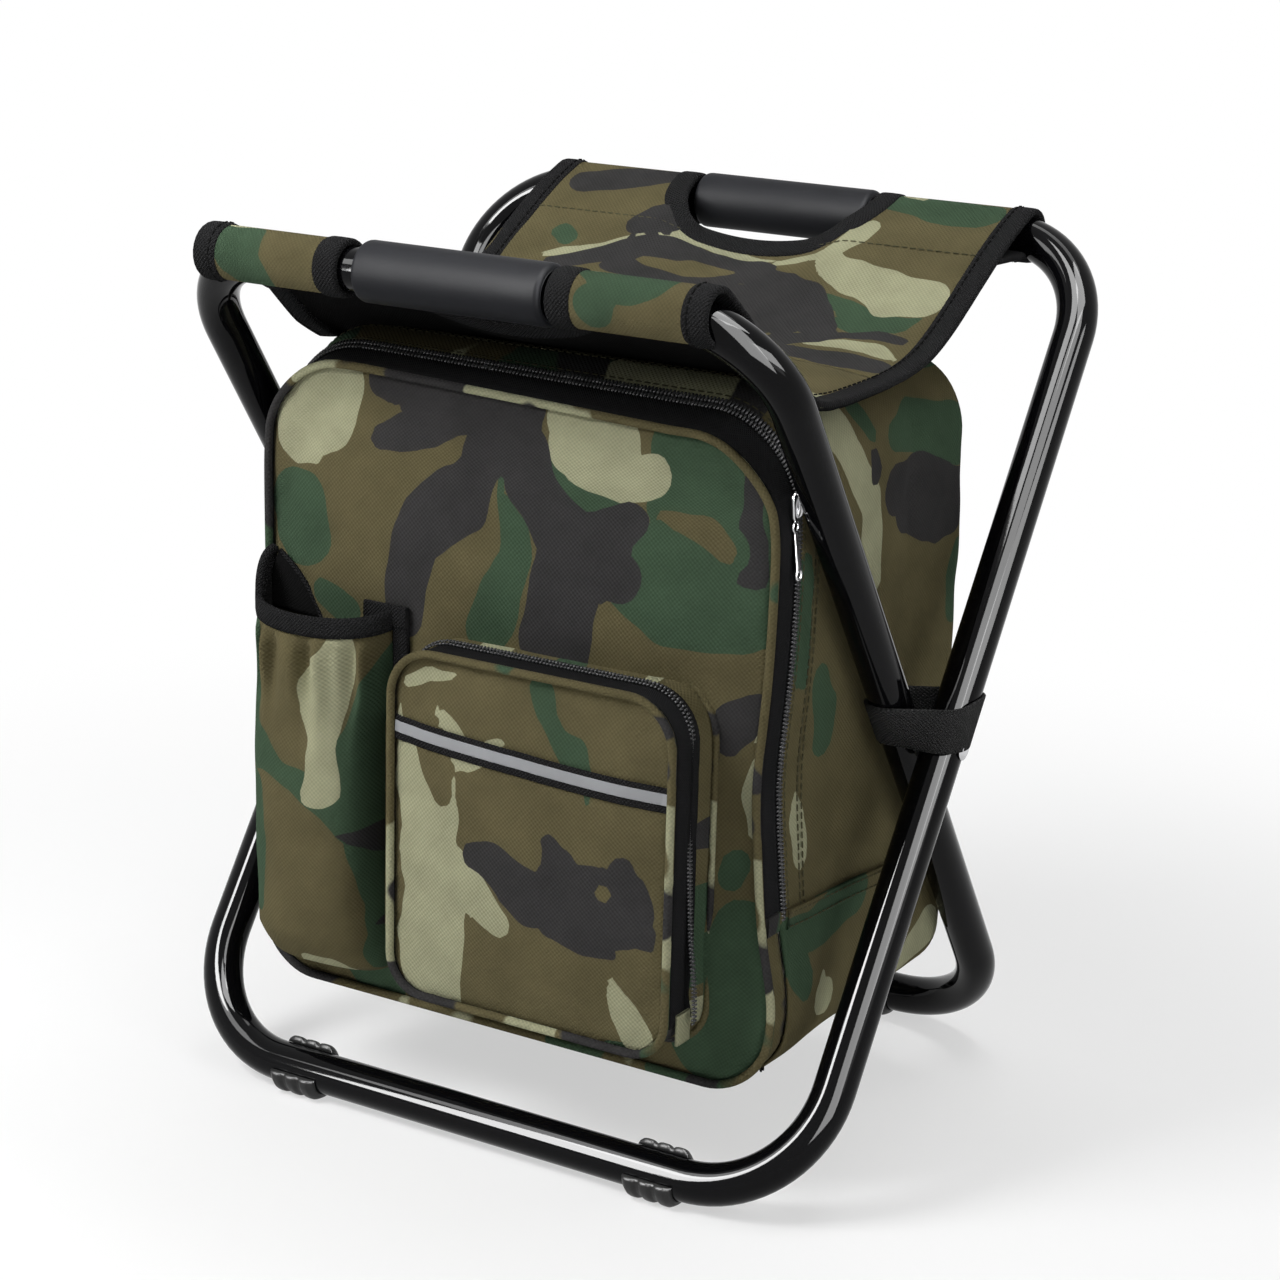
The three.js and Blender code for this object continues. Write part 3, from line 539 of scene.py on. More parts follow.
def finish_cloth(tree, uv, colour, pitch, depth, roughness, sheen, specular):
    """Weave, fading and sheen that all the woven cloths share."""
    parts = add(tree, "SeparateXYZ", uv)
    waves = [calc(tree, "SINE", calc(tree, "MULTIPLY", parts.outputs[axis], math.pi / (pitch * MM)))
             for axis in ("X", "Y")]
    weave = calc(tree, "MULTIPLY", *waves)
    fade = add(tree, "MapRange", clouds(tree, uv, 35.0, 4.0, 0.6), 0.3, 0.7, 0.86, 1.12)
    level = calc(tree, "ADD", fade, calc(tree, "MULTIPLY", weave, YARN_SHADE))
    dress(tree, {
        "Base Color": scaled(tree, colour, level),
        "Normal": add(tree, "Bump", Strength=depth, Distance=0.0004, Height=weave),
        "Roughness": roughness, "Specular IOR Level": specular,
        "Sheen Weight": sheen, "Sheen Roughness": 0.45,
    })


def camouflage(name, offset, turn=0.0):
    """Printed oxford cloth: brown ground with green, khaki and charcoal patches."""
    made, tree = new_tree(name)
    uv = add(tree, "UVMap", uv_map="cloth")
    place = add(tree, "Mapping", uv, offset, (0, 0, turn), PRINT_STRETCH)
    bend = clouds(tree, place, 26.0, 1.0, 0.5).outputs["Color"]
    shift = add(tree, "VectorMath", bend, PRINT_BEND, place, operation="MULTIPLY_ADD")
    steer = add(tree, "Attribute", attribute_name="patches")
    wanted = add(tree, "SeparateXYZ", steer.outputs["Vector"])
    colour = BROWN
    for channel, ink, scale, level, seed in PRINT_LAYERS:
        apart = add(tree, "VectorMath", shift, (seed, seed * 0.37, seed * 0.71), operation="ADD")
        wander = calc(tree, "MULTIPLY", clouds(tree, apart, scale, 2.4, 0.5), PRINT_WANDER)
        height = calc(tree, "ADD", wander, wanted.outputs[channel])
        line = PRINT_WANDER / 2 + level
        inside = add(tree, "MapRange", height, line - PRINT_EDGE, line + PRINT_EDGE)
        mix = add(tree, "Mix", inside, data_type="RGBA")
        feed(tree, mix.inputs[6], colour)
        feed(tree, mix.inputs[7], ink)
        colour = mix.outputs[2]
    finish_cloth(tree, uv, colour, 1.05, 0.35, roughness=0.75, sheen=0.02, specular=0.0)
    return made


def black_weave(name, colour, pitch, depth, roughness=0.72):
    made, tree = new_tree(name)
    uv = add(tree, "UVMap", uv_map="cloth")
    finish_cloth(tree, uv, colour, pitch, depth, roughness, sheen=0.0, specular=0.01)
    return made


def speckled(name, colour, roughness, scale, depth, metallic=0.0, specular=0.5):
    """A paint, plastic or metal with fine grain and slight variation in gloss."""
    made, tree = new_tree(name)
    place = add(tree, "TexCoord").outputs["Object"]
    grain = clouds(tree, place, scale, 3.0, 0.6)
    cloud = clouds(tree, place, 28.0, 4.0, 0.55)
    gloss, dull = roughness * (1 - GRIME), min(1.0, roughness * (1 + GRIME))
    dress(tree, {
        "Base Color": scaled(tree, colour, add(tree, "MapRange", cloud, 0.0, 1.0, 0.85, 1.15)),
        "Normal": add(tree, "Bump", Strength=depth, Distance=0.0003, Height=grain),
        "Roughness": add(tree, "MapRange", cloud, 0.0, 1.0, gloss, dull),
        "Metallic": metallic, "Specular IOR Level": specular,
    })
    return made


def foil(name):
    """Aluminised film with soft folds and fine wrinkles, drawn matt, with painted reflections: its grey is
    made lighter and darker along the large folds.
    """
    made, tree = new_tree(name)
    place = add(tree, "TexCoord").outputs["Object"]
    crease = clouds(tree, place, 70.0, 5.0, 0.65)
    height = calc(tree, "ADD", clouds(tree, place, 16.0, 2.0, 0.5), crease)
    dress(tree, {
        # Painted reflection: the film has no metal gloss here, so its grey is lightened and darkened with
        # the large folds to stand in for its shine.
        "Base Color": scaled(tree, FILM, add(tree, "MapRange", crease, 0.35, 0.65, 0.7, 1.3)),
        "Normal": add(tree, "Bump", Strength=0.9, Distance=0.0015, Height=height),
        "Roughness": 0.45, "Specular IOR Level": 0.008,
    })
    return made


tube_paint = speckled("tube_paint", (0.0025, 0.0025, 0.003), 0.05, 700.0, 0.012, specular=0.1)
grip_foam = speckled("grip_foam", (0.011, 0.0115, 0.0135), 0.5, 1400.0, 0.25, specular=0.04)
clip_plastic = speckled("clip_plastic", (0.012, 0.012, 0.012), 0.42, 1100.0, 0.15, specular=0.2)
bright_steel = speckled("bright_steel", (0.55, 0.55, 0.56), 0.24, 600.0, 0.04, metallic=1.0)
coil_plastic = speckled("coil_plastic", (0.055, 0.055, 0.057), 0.35, 1500.0, 0.1, specular=0.1)
thread_dark = speckled("thread_dark", (0.012, 0.012, 0.012), 0.7, 1800.0, 0.3, specular=0.0)
thread_olive = speckled("thread_olive", (0.07, 0.066, 0.04), 0.75, 1800.0, 0.3, specular=0.0)
reflective = speckled("reflective", (0.27, 0.275, 0.285), 0.42, 2200.0, 0.3, specular=0.05)
white_foam = speckled("white_foam", (0.78, 0.77, 0.72), 0.85, 500.0, 0.4)
webbing = black_weave("webbing", (0.033, 0.033, 0.033), 0.9, 1.0, 0.66)
binding = black_weave("binding", (0.014, 0.014, 0.0145), 0.9, 1.0, 0.75)
zip_tape = black_weave("zip_tape", (0.008, 0.008, 0.0085), 0.6, 0.5)
black_lining = black_weave("black_lining", (0.005, 0.005, 0.005), 0.7, 0.4, 0.85)
air_mesh = black_weave("air_mesh", (0.007, 0.007, 0.0075), 2.2, 1.6, 0.8)
liner_foil = foil("liner_foil")
camo_front = camouflage("camo_front", (0.31, 0.12, 0.0))
camo_side = camouflage("camo_side", (1.21, 0.55, 0.3), 0.4)
camo_back = camouflage("camo_back", (2.4, 0.2, 0.6), 0.2)
camo_seat = camouflage("camo_seat", (0.7, 1.6, 0.9), 0.9)
camo_pocket = camouflage("camo_pocket", (1.9, 0.9, 1.4), 0.1)
camo_bottle = camouflage("camo_bottle", (3.1, 1.2, 1.8), 1.3)
camo_boot = camouflage("camo_boot", (5.3, 0.4, 1.1), 0.2)
camo_trim = camouflage("camo_trim", (4.2, 2.0, 2.2), 0.6)


# Print layout

PATCH_REACH = 25.0
PATCH_GROW = 1.5
WOBBLES = ((30.0, 2.6), (11.0, 1.4))
WOBBLE_LAYERS = (0.5, 7.5)


def wobble(flat):
    """Moves points to and fro a little, so that drawn strokes get a print's uneven outline."""
    for size, amount in WOBBLES:
        moves = [[noise.noise(Vector((x / size, z / size, layer))) for layer in WOBBLE_LAYERS]
                 for x, z in flat]
        flat = flat + amount * np.array(moves)
    return flat


def stroke_field(flat, strokes):
    """Depth inside the nearest stroke, negative outside; strokes are lines of (across, up, radius)."""
    best = np.full(len(flat), -PATCH_REACH)
    for stroke in strokes:
        line = np.array(stroke, float)
        for a, b in zip(line, np.vstack([line[1:], line[-1:]])):
            along = b[:2] - a[:2]
            share = np.clip((flat - a[:2]) @ along / max(along @ along, 1e-9), 0, 1)
            away = np.linalg.norm(flat - a[:2] - share[:, None] * along, axis=1)
            best = np.maximum(best, a[2] + share * (b[2] - a[2]) + PATCH_GROW - away)
    return np.clip(best, -PATCH_REACH, PATCH_REACH)


def paint(made, flat, strokes, where=None):
    """Steers a panel's print with strokes of each colour on the panel's own flat axes, in millimetres."""
    flat = wobble(np.asarray(flat, float).reshape(-1, 2))
    bare = stroke_field(flat, strokes.get("brown", ()))
    fields = np.zeros((len(flat), 3), np.float32)
    for channel, colour in enumerate(("khaki", "green", "charcoal")):
        fields[:, channel] = np.minimum(stroke_field(flat, strokes.get(colour, ())), -bare)
    if where is not None:
        fields *= np.asarray(where, float).reshape(-1, 1)
    made.data.attributes.new("patches", "FLOAT_VECTOR", "POINT").data.foreach_set("vector", fields.ravel())


FLAP_PRINT = {
    "khaki": [
        ((-98, 336, 18), (-104, 322, 21), (-110, 306, 12), (-104, 297, 5)),
        ((24, 336, 7), (36, 328, 14), (52, 327, 13)), ((40, 319, 9), (58, 315, 8), (75, 317, 6.5)),
        ((129, 214, 5), (124, 208, 3)), ((127, 200, 6), (125, 186, 7), (128, 172, 4)), ((-104, 170, 6),),
    ],
    "green": [
        ((-113, 276, 17), (-111, 266, 17)),
        ((-2, 310, 1.5), (0, 298, 3), (6, 284, 8), (6, 272, 9), (1, 260, 10), (-3, 248, 12), (-6, 238, 13)),
        ((22, 322, 4), (28, 310, 8), (42, 302, 10), (56, 304, 8)),
        ((84, 330, 12), (92, 318, 20), (84, 305, 12)),
        ((62, 280, 12), (74, 276, 18), (92, 268, 20), (112, 270, 20)), ((116, 300, 12), (120, 270, 16)),
        ((58, 262, 6), (80, 258, 12), (104, 262, 12)), ((118, 154, 8), (116, 148, 7)),
        ((124, 124, 14), (122, 100, 26), (112, 74, 26)), ((-98, 238, 4), (-82, 233, 5)),
        ((-100, 110, 16), (-70, 60, 16)),
    ],
    "charcoal": [
        ((-68, 341, 8), (-50, 336, 9), (-30, 334, 9), (-5, 335, 10), (6, 334, 11)),
        ((-2, 332, 16), (1, 322, 17)), ((-66, 314, 6), (-50, 318, 8), (-34, 327, 8), (-20, 334, 8)),
        ((-10, 318, 10), (-14, 305, 9), (-22, 293, 13), (-38, 281, 12), (-46, 272, 9), (-47, 262, 8),
         (-50, 250, 8), (-52, 236, 8)),
        ((10, 318, 12), (15, 304, 13), (24, 292, 14), (32, 280, 17), (31, 266, 18), (29, 252, 18),
         (27, 240, 19)),
        ((40, 280, 10), (52, 289, 8), (62, 297, 7.5)), ((45, 272, 10), (58, 272, 8)),
        ((121, 322, 8), (119, 308, 8), (121, 295, 9.5), (121, 284, 9)),
        ((128, 224, 7), (117, 216, 10), (111, 206, 5)),
    ],
    "brown": [
        ((78, 302, 1.5), (88, 299, 5), (99, 297, 8), (108, 290, 7)), ((-65, 326, 1.5), (-58, 329, 1)),
    ],
}
POCKET_PRINT = {
    "khaki": [
        ((-22, 186, 14), (-18, 172, 18), (-16, 159, 19), (-17, 149, 18), (-15, 130, 18), (-15, 112, 18)),
        ((-15, 112, 18), (-16, 92, 18.5), (-16, 76, 17.5)), ((-6, 138, 14), (8, 126, 12), (21, 117, 10)),
        ((0, 186, 8), (10, 189, 5)), ((-14, 206, 1.5), (-8, 200, 3.5), (0, 195, 3)),
        ((12, 194, 3), (20, 197, 2.5)), ((-31, 215, 2.5), (-20, 220, 3), (-6, 221, 1.5)),
        ((-36, 203, 2), (-35, 196, 3.5)), ((76.5, 102, 0.5), (80, 95, 2.5), (85, 86, 5), (90, 77, 7)),
    ],
    "green": [
        ((38, 224, 7), (40, 214, 6), (47, 206, 6), (55, 200, 9), (62, 192, 5), (65, 178, 2.5)),
        ((100, 68, 7), (78, 66, 7)),
    ],
    "charcoal": [
        ((7, 144, 4), (16, 142, 7), (28, 136, 10), (40, 131, 13)),
        ((48, 156, 7), (52, 148, 11), (54, 136, 14)), ((56, 136, 17), (68, 133, 20), (78, 130, 18)),
        ((80, 153, 6.5), (82, 143, 11), (86, 134, 11)), ((93, 127, 6), (94, 121, 4.5)),
        ((78, 113, 6.5), (64, 116, 8), (48, 121, 8)),
    ],
    "brown": [
        ((-18, 192, 4), (-14, 180, 3), (-11, 170, 1.5)), ((72, 140, -0.6),),
    ],
}
BOTTLE_PRINT = {
    "khaki": [
        ((-71, 229, 5), (-75, 216, 6), (-81, 204, 8), (-82, 192, 6), (-80, 178, 3.5), (-80, 165, 6),
         (-80, 153, 8.5)),
        ((-90, 66, 5), (-80, 62, 8), (-76, 54, 7)),
    ],
    "green": [
        ((-127, 226, 4), (-127, 200, 6), (-126, 172, 5)), ((-119, 150, 8), (-118, 125, 8), (-120, 95, 7)),
        ((-122, 170, 9), (-108, 165, 6), (-92, 158, 6), (-78, 146, 6), (-68, 136, 7)),
        ((-52, 228, 5), (-54, 210, 7), (-56, 192, 11), (-58, 170, 13), (-60, 150, 12), (-52, 130, 13)),
        ((-56, 130, 14), (-51, 110, 15), (-49, 90, 15), (-47, 70, 16)),
    ],
    "charcoal": [
        ((-72, 132, 4.5), (-60, 131, 5.5), (-53, 124, 6)), ((-53, 118, 5), (-47, 113, 4)),
        ((-60, 87, 4), (-48, 85, 6)),
    ],
}
SIDE_PRINT = {
    "khaki": [
        ((-48, 346, 13), (-40, 333, 12), (-36, 322, 9), (-27, 309, 8.5), (-15.5, 296, 8.5), (-14, 283, 9),
         (-10, 264, 5)),
        ((-73, 182, 4), (-69, 168, 9), (-66, 148, 9)), ((50, 82, 10), (68, 74, 12)),
        ((-54, 80, 5), (-46, 72, 8)),
    ],
    "green": [
        ((-15, 337, 5), (-12, 328, 4)), ((8, 322, 7), (28, 322, 10), (52, 317, 10), (74, 312, 10)),
        ((74, 258, 5), (70, 246, 6), (74, 232, 7)), ((-77, 284, 5), (-75, 250, 7), (-74, 232, 6)),
        ((-57, 226, 5), (-50, 212, 8), (-49, 198, 8)), ((-62, 112, 8), (-30, 104, 9)),
    ],
    "charcoal": [
        ((-13, 318, 5), (-12, 309, 6)), ((10, 300, 11), (28, 296, 15), (52, 288, 18), (66, 282, 15)),
        ((20, 288, 10), (50, 278, 14), (66, 276, 10)),
    ],
}
WALL_PRINT = {
    "khaki": [
        ((80, 231, 6),), ((106, 84, 8),), ((0, 232, 5),),
    ],
    "green": [
        ((40, 231, 9),), ((106, 130, 13), (106, 112, 13)), ((60, 68, 12),),
    ],
    "charcoal": [
        ((107, 168, 7),),
    ],
}
SEAT_PRINT = {
    "khaki": [
        ((-100, 74, 2.5), (-88, 80, 4), (-70, 86, 4.5), (-52, 92, 5), (-38, 100, 5), (-26, 106, 5),
         (-10, 104, 3.5), (8, 102, 3), (22, 99, 2.5)),
        ((60, 123, 8), (56, 114, 11), (50, 104, 11), (34, 100, 6), (22, 98, 3)),
        ((50, 98, 11), (62, 90, 12), (78, 84, 11), (94, 77, 13), (106, 77, 11)),
        ((66, 152, 3), (72, 150, 2)), ((74, 31, 1.5), (86, 34, 3), (102, 33, 3.5), (118, 26, 4)),
        ((-112, -150, 5), (-98, -147, 4)), ((64, -150, 3),),
    ],
    "green": [
        ((-98, 94, 6), (-92, 90, 6)), ((54, 150, 12), (72, 146, 14), (90, 144, 14), (108, 142, 14)),
        ((60, 165, 10), (100, 168, 10)),
        ((60, 70, 4), (72, 66, 6), (84, 60, 7), (96, 56, 8), (106, 56, 8), (114, 64, 5)),
        ((74, 54, 4), (90, 50, 5)), ((-118, -160, 10), (-106, -168, 12)),
        ((68, -152, 9), (84, -158, 14), (98, -158, 13)), ((74, -172, 9),), ((-98, -182, 9),),
    ],
    "charcoal": [
        ((-104, 134, 8), (-94, 138, 9), (-82, 141, 9), (-72, 143, 7), (-62, 146, 5)),
        ((-58, 104, 5), (-50, 110, 8), (-44, 118, 5)),
        ((-90, 70, 3), (-72, 78, 4), (-54, 84, 5), (-36, 90, 5.5), (-22, 94, 5), (-8, 95, 5), (12, 94, 7),
         (22, 92, 6)),
        ((-60, 72, 2), (-40, 71, 4), (-22, 70, 6), (-8, 71, 6), (6, 75, 7)),
        ((18, 84, 11), (34, 78, 13), (46, 70, 14), (58, 58, 13), (70, 46, 11)),
        ((20, 62, 14), (36, 52, 15), (56, 44, 13)), ((60, 28, 10), (74, 38, 8), (82, 44, 5)),
        ((-10, 55, 12), (20, 45, 13), (40, 34, 12)),
        ((62, 12, 10), (78, 14, 10), (96, 14, 10), (112, 14, 8)), ((82, 44, 4), (98, 46, 4), (112, 44, 4)),
    ],
    "brown": [
        ((-46, 80, 1.5), (-34, 80, 4), (-18, 79, 5), (-4, 82, 3.5), (3, 84, 1)),
    ],
}
BOOT_PRINT = {
    "khaki": [
        ((-50, 87, 5), (-53, 79, 9), (-42, 76, 8)), ((62, 76, 11), (46, 70, 10), (34, 64, 7)),
    ],
    "green": [
        ((-84, 118, 10), (-60, 115, 11), (-36, 117, 9), (-16, 118, 8)), ((-80, 106, 10), (-72, 95, 8)),
    ],
}


# Studio

CAMERA_AIM = (0.0003, 0.0106, 0.2064)
CAMERA_DISTANCE = 1.433
CAMERA_AZIMUTH = 31.13
CAMERA_ELEVATION = 16.26
CAMERA_ROLL = 1.57
CAMERA_LENS = 85.8
FLOOR_HALF = 6000
# Near and far distance from the object in metres, and how white the floor is seen there
FLOOR_FADE = (0.25, 0.75, 0.55, 1.0)
SKY_STRENGTH = 0.24

# Name, place, target, size and power of each lamp, in metres and watts
SOFTBOXES = (
    ("key", (-0.55, -0.8, 1.05), (0, 0, 0.22), (0.5, 0.5), 14),
    ("top", (0.1, 0.4, 1.9), (0, 0, 0.2), (1.2, 0.4), 12),
    ("fill", (1.5, -0.4, 0.8), (0, 0, 0.2), (0.8, 0.8), 5),
)
# Bright boards that only show in gloss, as the highlights along the tubes
REFLECTORS = (
    ("right", (1.29, -0.9, 1.05), (0.165, 0.05, 0.35), (1.0, 2.0), 180),
    ("side", (1.72, -0.2, 1.0), (0.165, 0.1, 0.45), (0.9, 0.6), 48),
    ("crown", (0.05, -0.6, 1.7), (0.15, 0.17, 0.6), (0.7, 0.7), 65),
    ("above", (0.7, -0.2, 1.8), (0, 0, 0.3), (0.9, 0.8), 85),
    ("left", (-0.64, -1.21, 0.92), (0.165, 0, 0.25), (0.36, 1.3), 130),
)


def camera():
    data = bpy.data.cameras.new("camera")
    made = bpy.data.objects.new("camera", data)
    bpy.context.scene.collection.objects.link(made)
    a, e = math.radians(CAMERA_AZIMUTH), math.radians(CAMERA_ELEVATION)
    back = Vector((math.sin(a) * math.cos(e), -math.cos(a) * math.cos(e), math.sin(e)))
    turn = (-back).to_track_quat("-Z", "Y").to_matrix().to_4x4()
    roll = Matrix.Rotation(math.radians(CAMERA_ROLL), 4, "Z")
    made.matrix_world = Matrix.Translation(Vector(CAMERA_AIM) + back * CAMERA_DISTANCE) @ turn @ roll
    data.lens = CAMERA_LENS
    data.sensor_width = 36
    data.clip_start = 0.05
    data.clip_end = 40
    bpy.context.scene.camera = made


def lamp(name, place, target, size, power):
    data = bpy.data.lights.new(name, "AREA")
    data.shape = "RECTANGLE"
    data.size, data.size_y = size
    data.energy = power
    made = bpy.data.objects.new(name, data)
    made.location = place
    made.rotation_euler = (Vector(target) - Vector(place)).to_track_quat("-Z", "Y").to_euler()
    bpy.context.scene.collection.objects.link(made)
    return made


def seen_directly(tree):
    """1 where the camera sees a place itself, in a reflection or through glass."""
    rays = add(tree, "LightPath").outputs
    seen = calc(tree, "MAXIMUM", rays["Is Camera Ray"], rays["Is Glossy Ray"])
    return calc(tree, "MAXIMUM", seen, rays["Is Transmission Ray"])


def backdrop_material():
    """A pale floor that shades off to plain white away from the object and still takes the shadow."""
    made, tree = new_tree("backdrop")
    dress(tree, {"Base Color": (0.86, 0.86, 0.86), "Roughness": 0.9, "Specular IOR Level": 0.1})
    place = add(tree, "TexCoord").outputs["Object"]
    away = add(tree, "VectorMath", place, operation="LENGTH")
    spread = add(tree, "MapRange", away.outputs["Value"], *FLOOR_FADE)
    spread.interpolation_type = "SMOOTHSTEP"
    share = calc(tree, "MULTIPLY", seen_directly(tree), spread)
    mix = add(tree, "MixShader", share, tree.nodes["Principled BSDF"], add(tree, "Emission", Strength=1.0))
    feed(tree, tree.nodes["Material Output"].inputs["Surface"], mix)
    return made


def studio():
    bpy.context.scene.view_settings.view_transform = "Standard"
    corners = [[x * FLOOR_HALF, y * FLOOR_HALF, 0] for x, y in ((-1, -1), (1, -1), (1, 1), (-1, 1))]
    add_mesh("floor", corners, [[0, 1, 2, 3]], backdrop_material())
    world = bpy.data.worlds.new("world")
    bpy.context.scene.world = world
    world.use_nodes = True
    tree = world.node_tree
    sky = tree.nodes["Background"]
    feed(tree, sky.inputs["Color"], (1, 1, 1))
    strength = add(tree, "MapRange", seen_directly(tree), 0.0, 1.0, SKY_STRENGTH, 1.0)
    feed(tree, sky.inputs["Strength"], strength)
    for settings in SOFTBOXES:
        lamp(*settings)
    for settings in REFLECTORS:
        lamp(*settings).visible_diffuse = False


# Tube frames, grips and feet

GRIP_EDGE = 2.6
GRIP_END = 8
CLIP_MOUTH = 110
CLIP_MOUTH_AT = 55
CLIP_RIDGES = (-8, 0, 8)
CLIP_RIDGE_HALF = 3.0
CLIP_RIDGE_RISE = 1.2
CLIP_WALL = 2.0
CLIP_EDGE = 1.2


def tube_frame(body, half_width, side):
    """One bent loop; side is 1 where its top leans back."""
    x, along = loop(-half_width, half_width, -LOWER_ARM, UPPER_ARM, BOTTOM_BEND, TOP_BEND, steps=20).T
    path = np.stack([x, side * along * math.sin(LEAN), PIVOT_HEIGHT + along * math.cos(LEAN)], axis=1)
    up = (0, -side * math.cos(LEAN), math.sin(LEAN))
    made = swept(f"{body}_tube", path, up, circle(TUBE_RADIUS, 32), tube_paint, closed=True)
    put(made, body, "tube_black", body)


def grip(body, name):
    """A soft sleeve, turned about its rail from a profile of (x, radius) pairs."""
    centre, (half, _, radius) = centre_and_half(name)
    right = [(half - GRIP_EDGE * (1 - math.cos(a)), radius - GRIP_EDGE * (1 - math.sin(a)))
             for a in np.radians(np.linspace(90, 0, 7))]
    right += [(half, TUBE_RADIUS + 1.2), (half - 1.0, TUBE_RADIUS + 0.2)]
    plain = [(x, radius) for x in np.linspace(GRIP_END - half, half - GRIP_END, 9)]
    profile = [(-x, r) for x, r in right[::-1]] + plain + right
    points = [[centre + (x, r * c, r * s) for c, s in circle(1.0, 40)] for x, r in profile]
    put(grid(f"{name}_sleeve", points, grip_foam, along=True, caps=True), body, "grip_foam", name)


def foot_clip(body, name, side):
    """A C-shaped clip with rounded ridges round a bottom rail and a flat sole."""
    centre, (half, _, _) = centre_and_half(name)
    middle = CLIP_MOUTH_AT if side > 0 else 180 - CLIP_MOUTH_AT
    mouth = (middle + CLIP_MOUTH / 2, middle - CLIP_MOUTH / 2 + 360, 39)
    bore = arc(0, 0, TUBE_RADIUS + 0.15, *mouth)[::-1]
    rings = []
    for x in np.linspace(-half, half, 41):
        ridge = max(1 - (abs(x - at) / CLIP_RIDGE_HALF) ** 4 for at in CLIP_RIDGES)
        wall = CLIP_WALL * min(1.0, (half - abs(x)) / CLIP_EDGE) ** 0.5
        outer = TUBE_RADIUS + 0.4 + wall + CLIP_RIDGE_RISE * max(ridge, 0)
        ring = np.vstack([arc(0, 0, outer, *mouth), bore]) + (side * FOOT_SPREAD, FOOT_HEIGHT)
        ring[:, 1] = np.maximum(ring[:, 1], 0.0)
        rings.append(sideways(ring, centre[0] + x))
    put(grid(f"{name}_clip", rings, clip_plastic, along=True, caps=True), body, "clip_plastic", name)


def frames():
    tube_frame("outer_frame", OUTER_HALF_WIDTH, 1)
    tube_frame("inner_frame", INNER_HALF_WIDTH, -1)
    grip("outer_frame", "rear_grip")
    grip("inner_frame", "front_grip")
    for end in ("left", "right"):
        foot_clip("outer_frame", f"front_foot_{end}", -1)
        foot_clip("inner_frame", f"rear_foot_{end}", 1)
        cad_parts[f"pivot_rivet_{end}"].data.materials[0] = bright_steel
        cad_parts[f"pivot_washer_{end}"].data.materials[0] = clip_plastic


# Frame straps

STRAP_WIDTH = 20
STRAP_RISE = 10
STRAP_STATIONS = 72


def convex_belt(points, radius, steps):
    """Outline at a distance round corner points that are given anticlockwise."""
    line = []
    for i, corner in enumerate(points):
        before, after = points[i - 1], points[(i + 1) % len(points)]
        start = math.atan2(*(corner - before)[::-1]) - math.pi / 2
        turn = (math.atan2(*(after - corner)[::-1]) - math.pi / 2 - start) % (2 * math.pi)
        for a in start + turn * np.arange(steps + 1) / steps:
            line.append(corner + radius * np.array([math.cos(a), math.sin(a)]))
    return np.array(line)


def frame_strap(name, side):
    """A webbing belt that hugs both legs above the pivot, stitched to the bag's side."""
    flatten = np.array([1.0, math.cos(LEAN)])
    rows = []
    for rise in STRAP_RISE + np.linspace(-STRAP_WIDTH / 2, STRAP_WIDTH / 2, 9):
        spread = rise * math.tan(LEAN)
        legs = np.array([
            (OUTER_HALF_WIDTH, min(spread, 0)), (OUTER_HALF_WIDTH, max(spread, 0.1)),
            (INNER_HALF_WIDTH, max(-spread, 0)), (INNER_HALF_WIDTH, min(-spread, -0.1)),
        ])
        belt = convex_belt(legs * flatten, TUBE_RADIUS + 1.0, 12) / flatten
        x, y = resample(belt, closed=True, count=STRAP_STATIONS).T
        rows.append(np.stack([side * x, y, np.full(len(x), PIVOT_HEIGHT + rise)], axis=1))
    made = grid(f"frame_strap_{name}_webbing", np.stack(rows, axis=1), webbing, around=True)
    black(thicken(made, 1.5, offset=0.0), "bag", f"frame_strap_{name}")


# Bag

LOFT_STEP = 4.0
TOP_SWELL = 5.0
FLAP_DROP = 9.8
FLAP_TILT = 3.3
# Bumps are given by place, reach and height, and fades by start and length
WAIST = ((88, 31, 7.5), (188, 36, -3.6), (285, 40, 1.0))
WAIST_LEFT = 0.4
FRONT_FADE = (-20, -60)
TOP_FADE = (290, 55)
TOP_BUMP = (-68, 13, TOP_SWELL)
DROP_FADE = (-66, -40)
TILT_HALF = 80
TOP_SPREAD = 0.3
RIGHT_FADE = (110, 18)
BELLIES = ((270, 50, 1.2), (110, 40, 0.72))
BELLY_MIDDLE = 2
BELLY_HALF = 88
CREASE_DEPTH = 24
CREASE_FROM = 300
CREASE_LEAN = 0.03
CREASE_REACH = 5.0
CREASE_BUMP = (305, 38, -2.2)
SWELL_DEPTH = (48, 18)
SLACK_EDGE = 14
SWELL_BUMP = (300, 40, 1.4)
CUP_EDGE = 10
CUP_CLOSING = (0.25, 0.5, 0.75, 0.999)
LINER_INSET = 6.6
FOAM_INSET = 4.0
bag_stations = rounded(*BAG_OUTLINE, *BAG_CORNERS, LOFT_STEP)


def slouch(points):
    """How the filled bag departs from its outline: full low down and behind the zip, waisted between."""
    points = np.array(points, float)
    x, y, z = points[..., 0], points[..., 1], points[..., 2]
    side = np.clip(np.abs(x) / BAG_HALF_WIDTH, 0, 1.1) ** 3
    width = sum(bump(z, *settings) for settings in WAIST) * np.where(x > 0, 1.0, WAIST_LEFT)
    drop = FLAP_DROP + FLAP_TILT * np.clip(x / TILT_HALF, -1, 1)
    rise = (bump(y, *TOP_BUMP) - drop * fade(y, *DROP_FADE)) * fade(z, *TOP_FADE)
    points[..., 0] = x + np.sign(x) * side * (fade(y, *FRONT_FADE) * width + TOP_SPREAD * rise)
    points[..., 2] = z + rise
    return points


def on_right(points, reach=RIGHT_FADE):
    """1 on the right wall, where the print is drawn, and 0 where it follows noise."""
    return fade(points[..., 0], *reach)


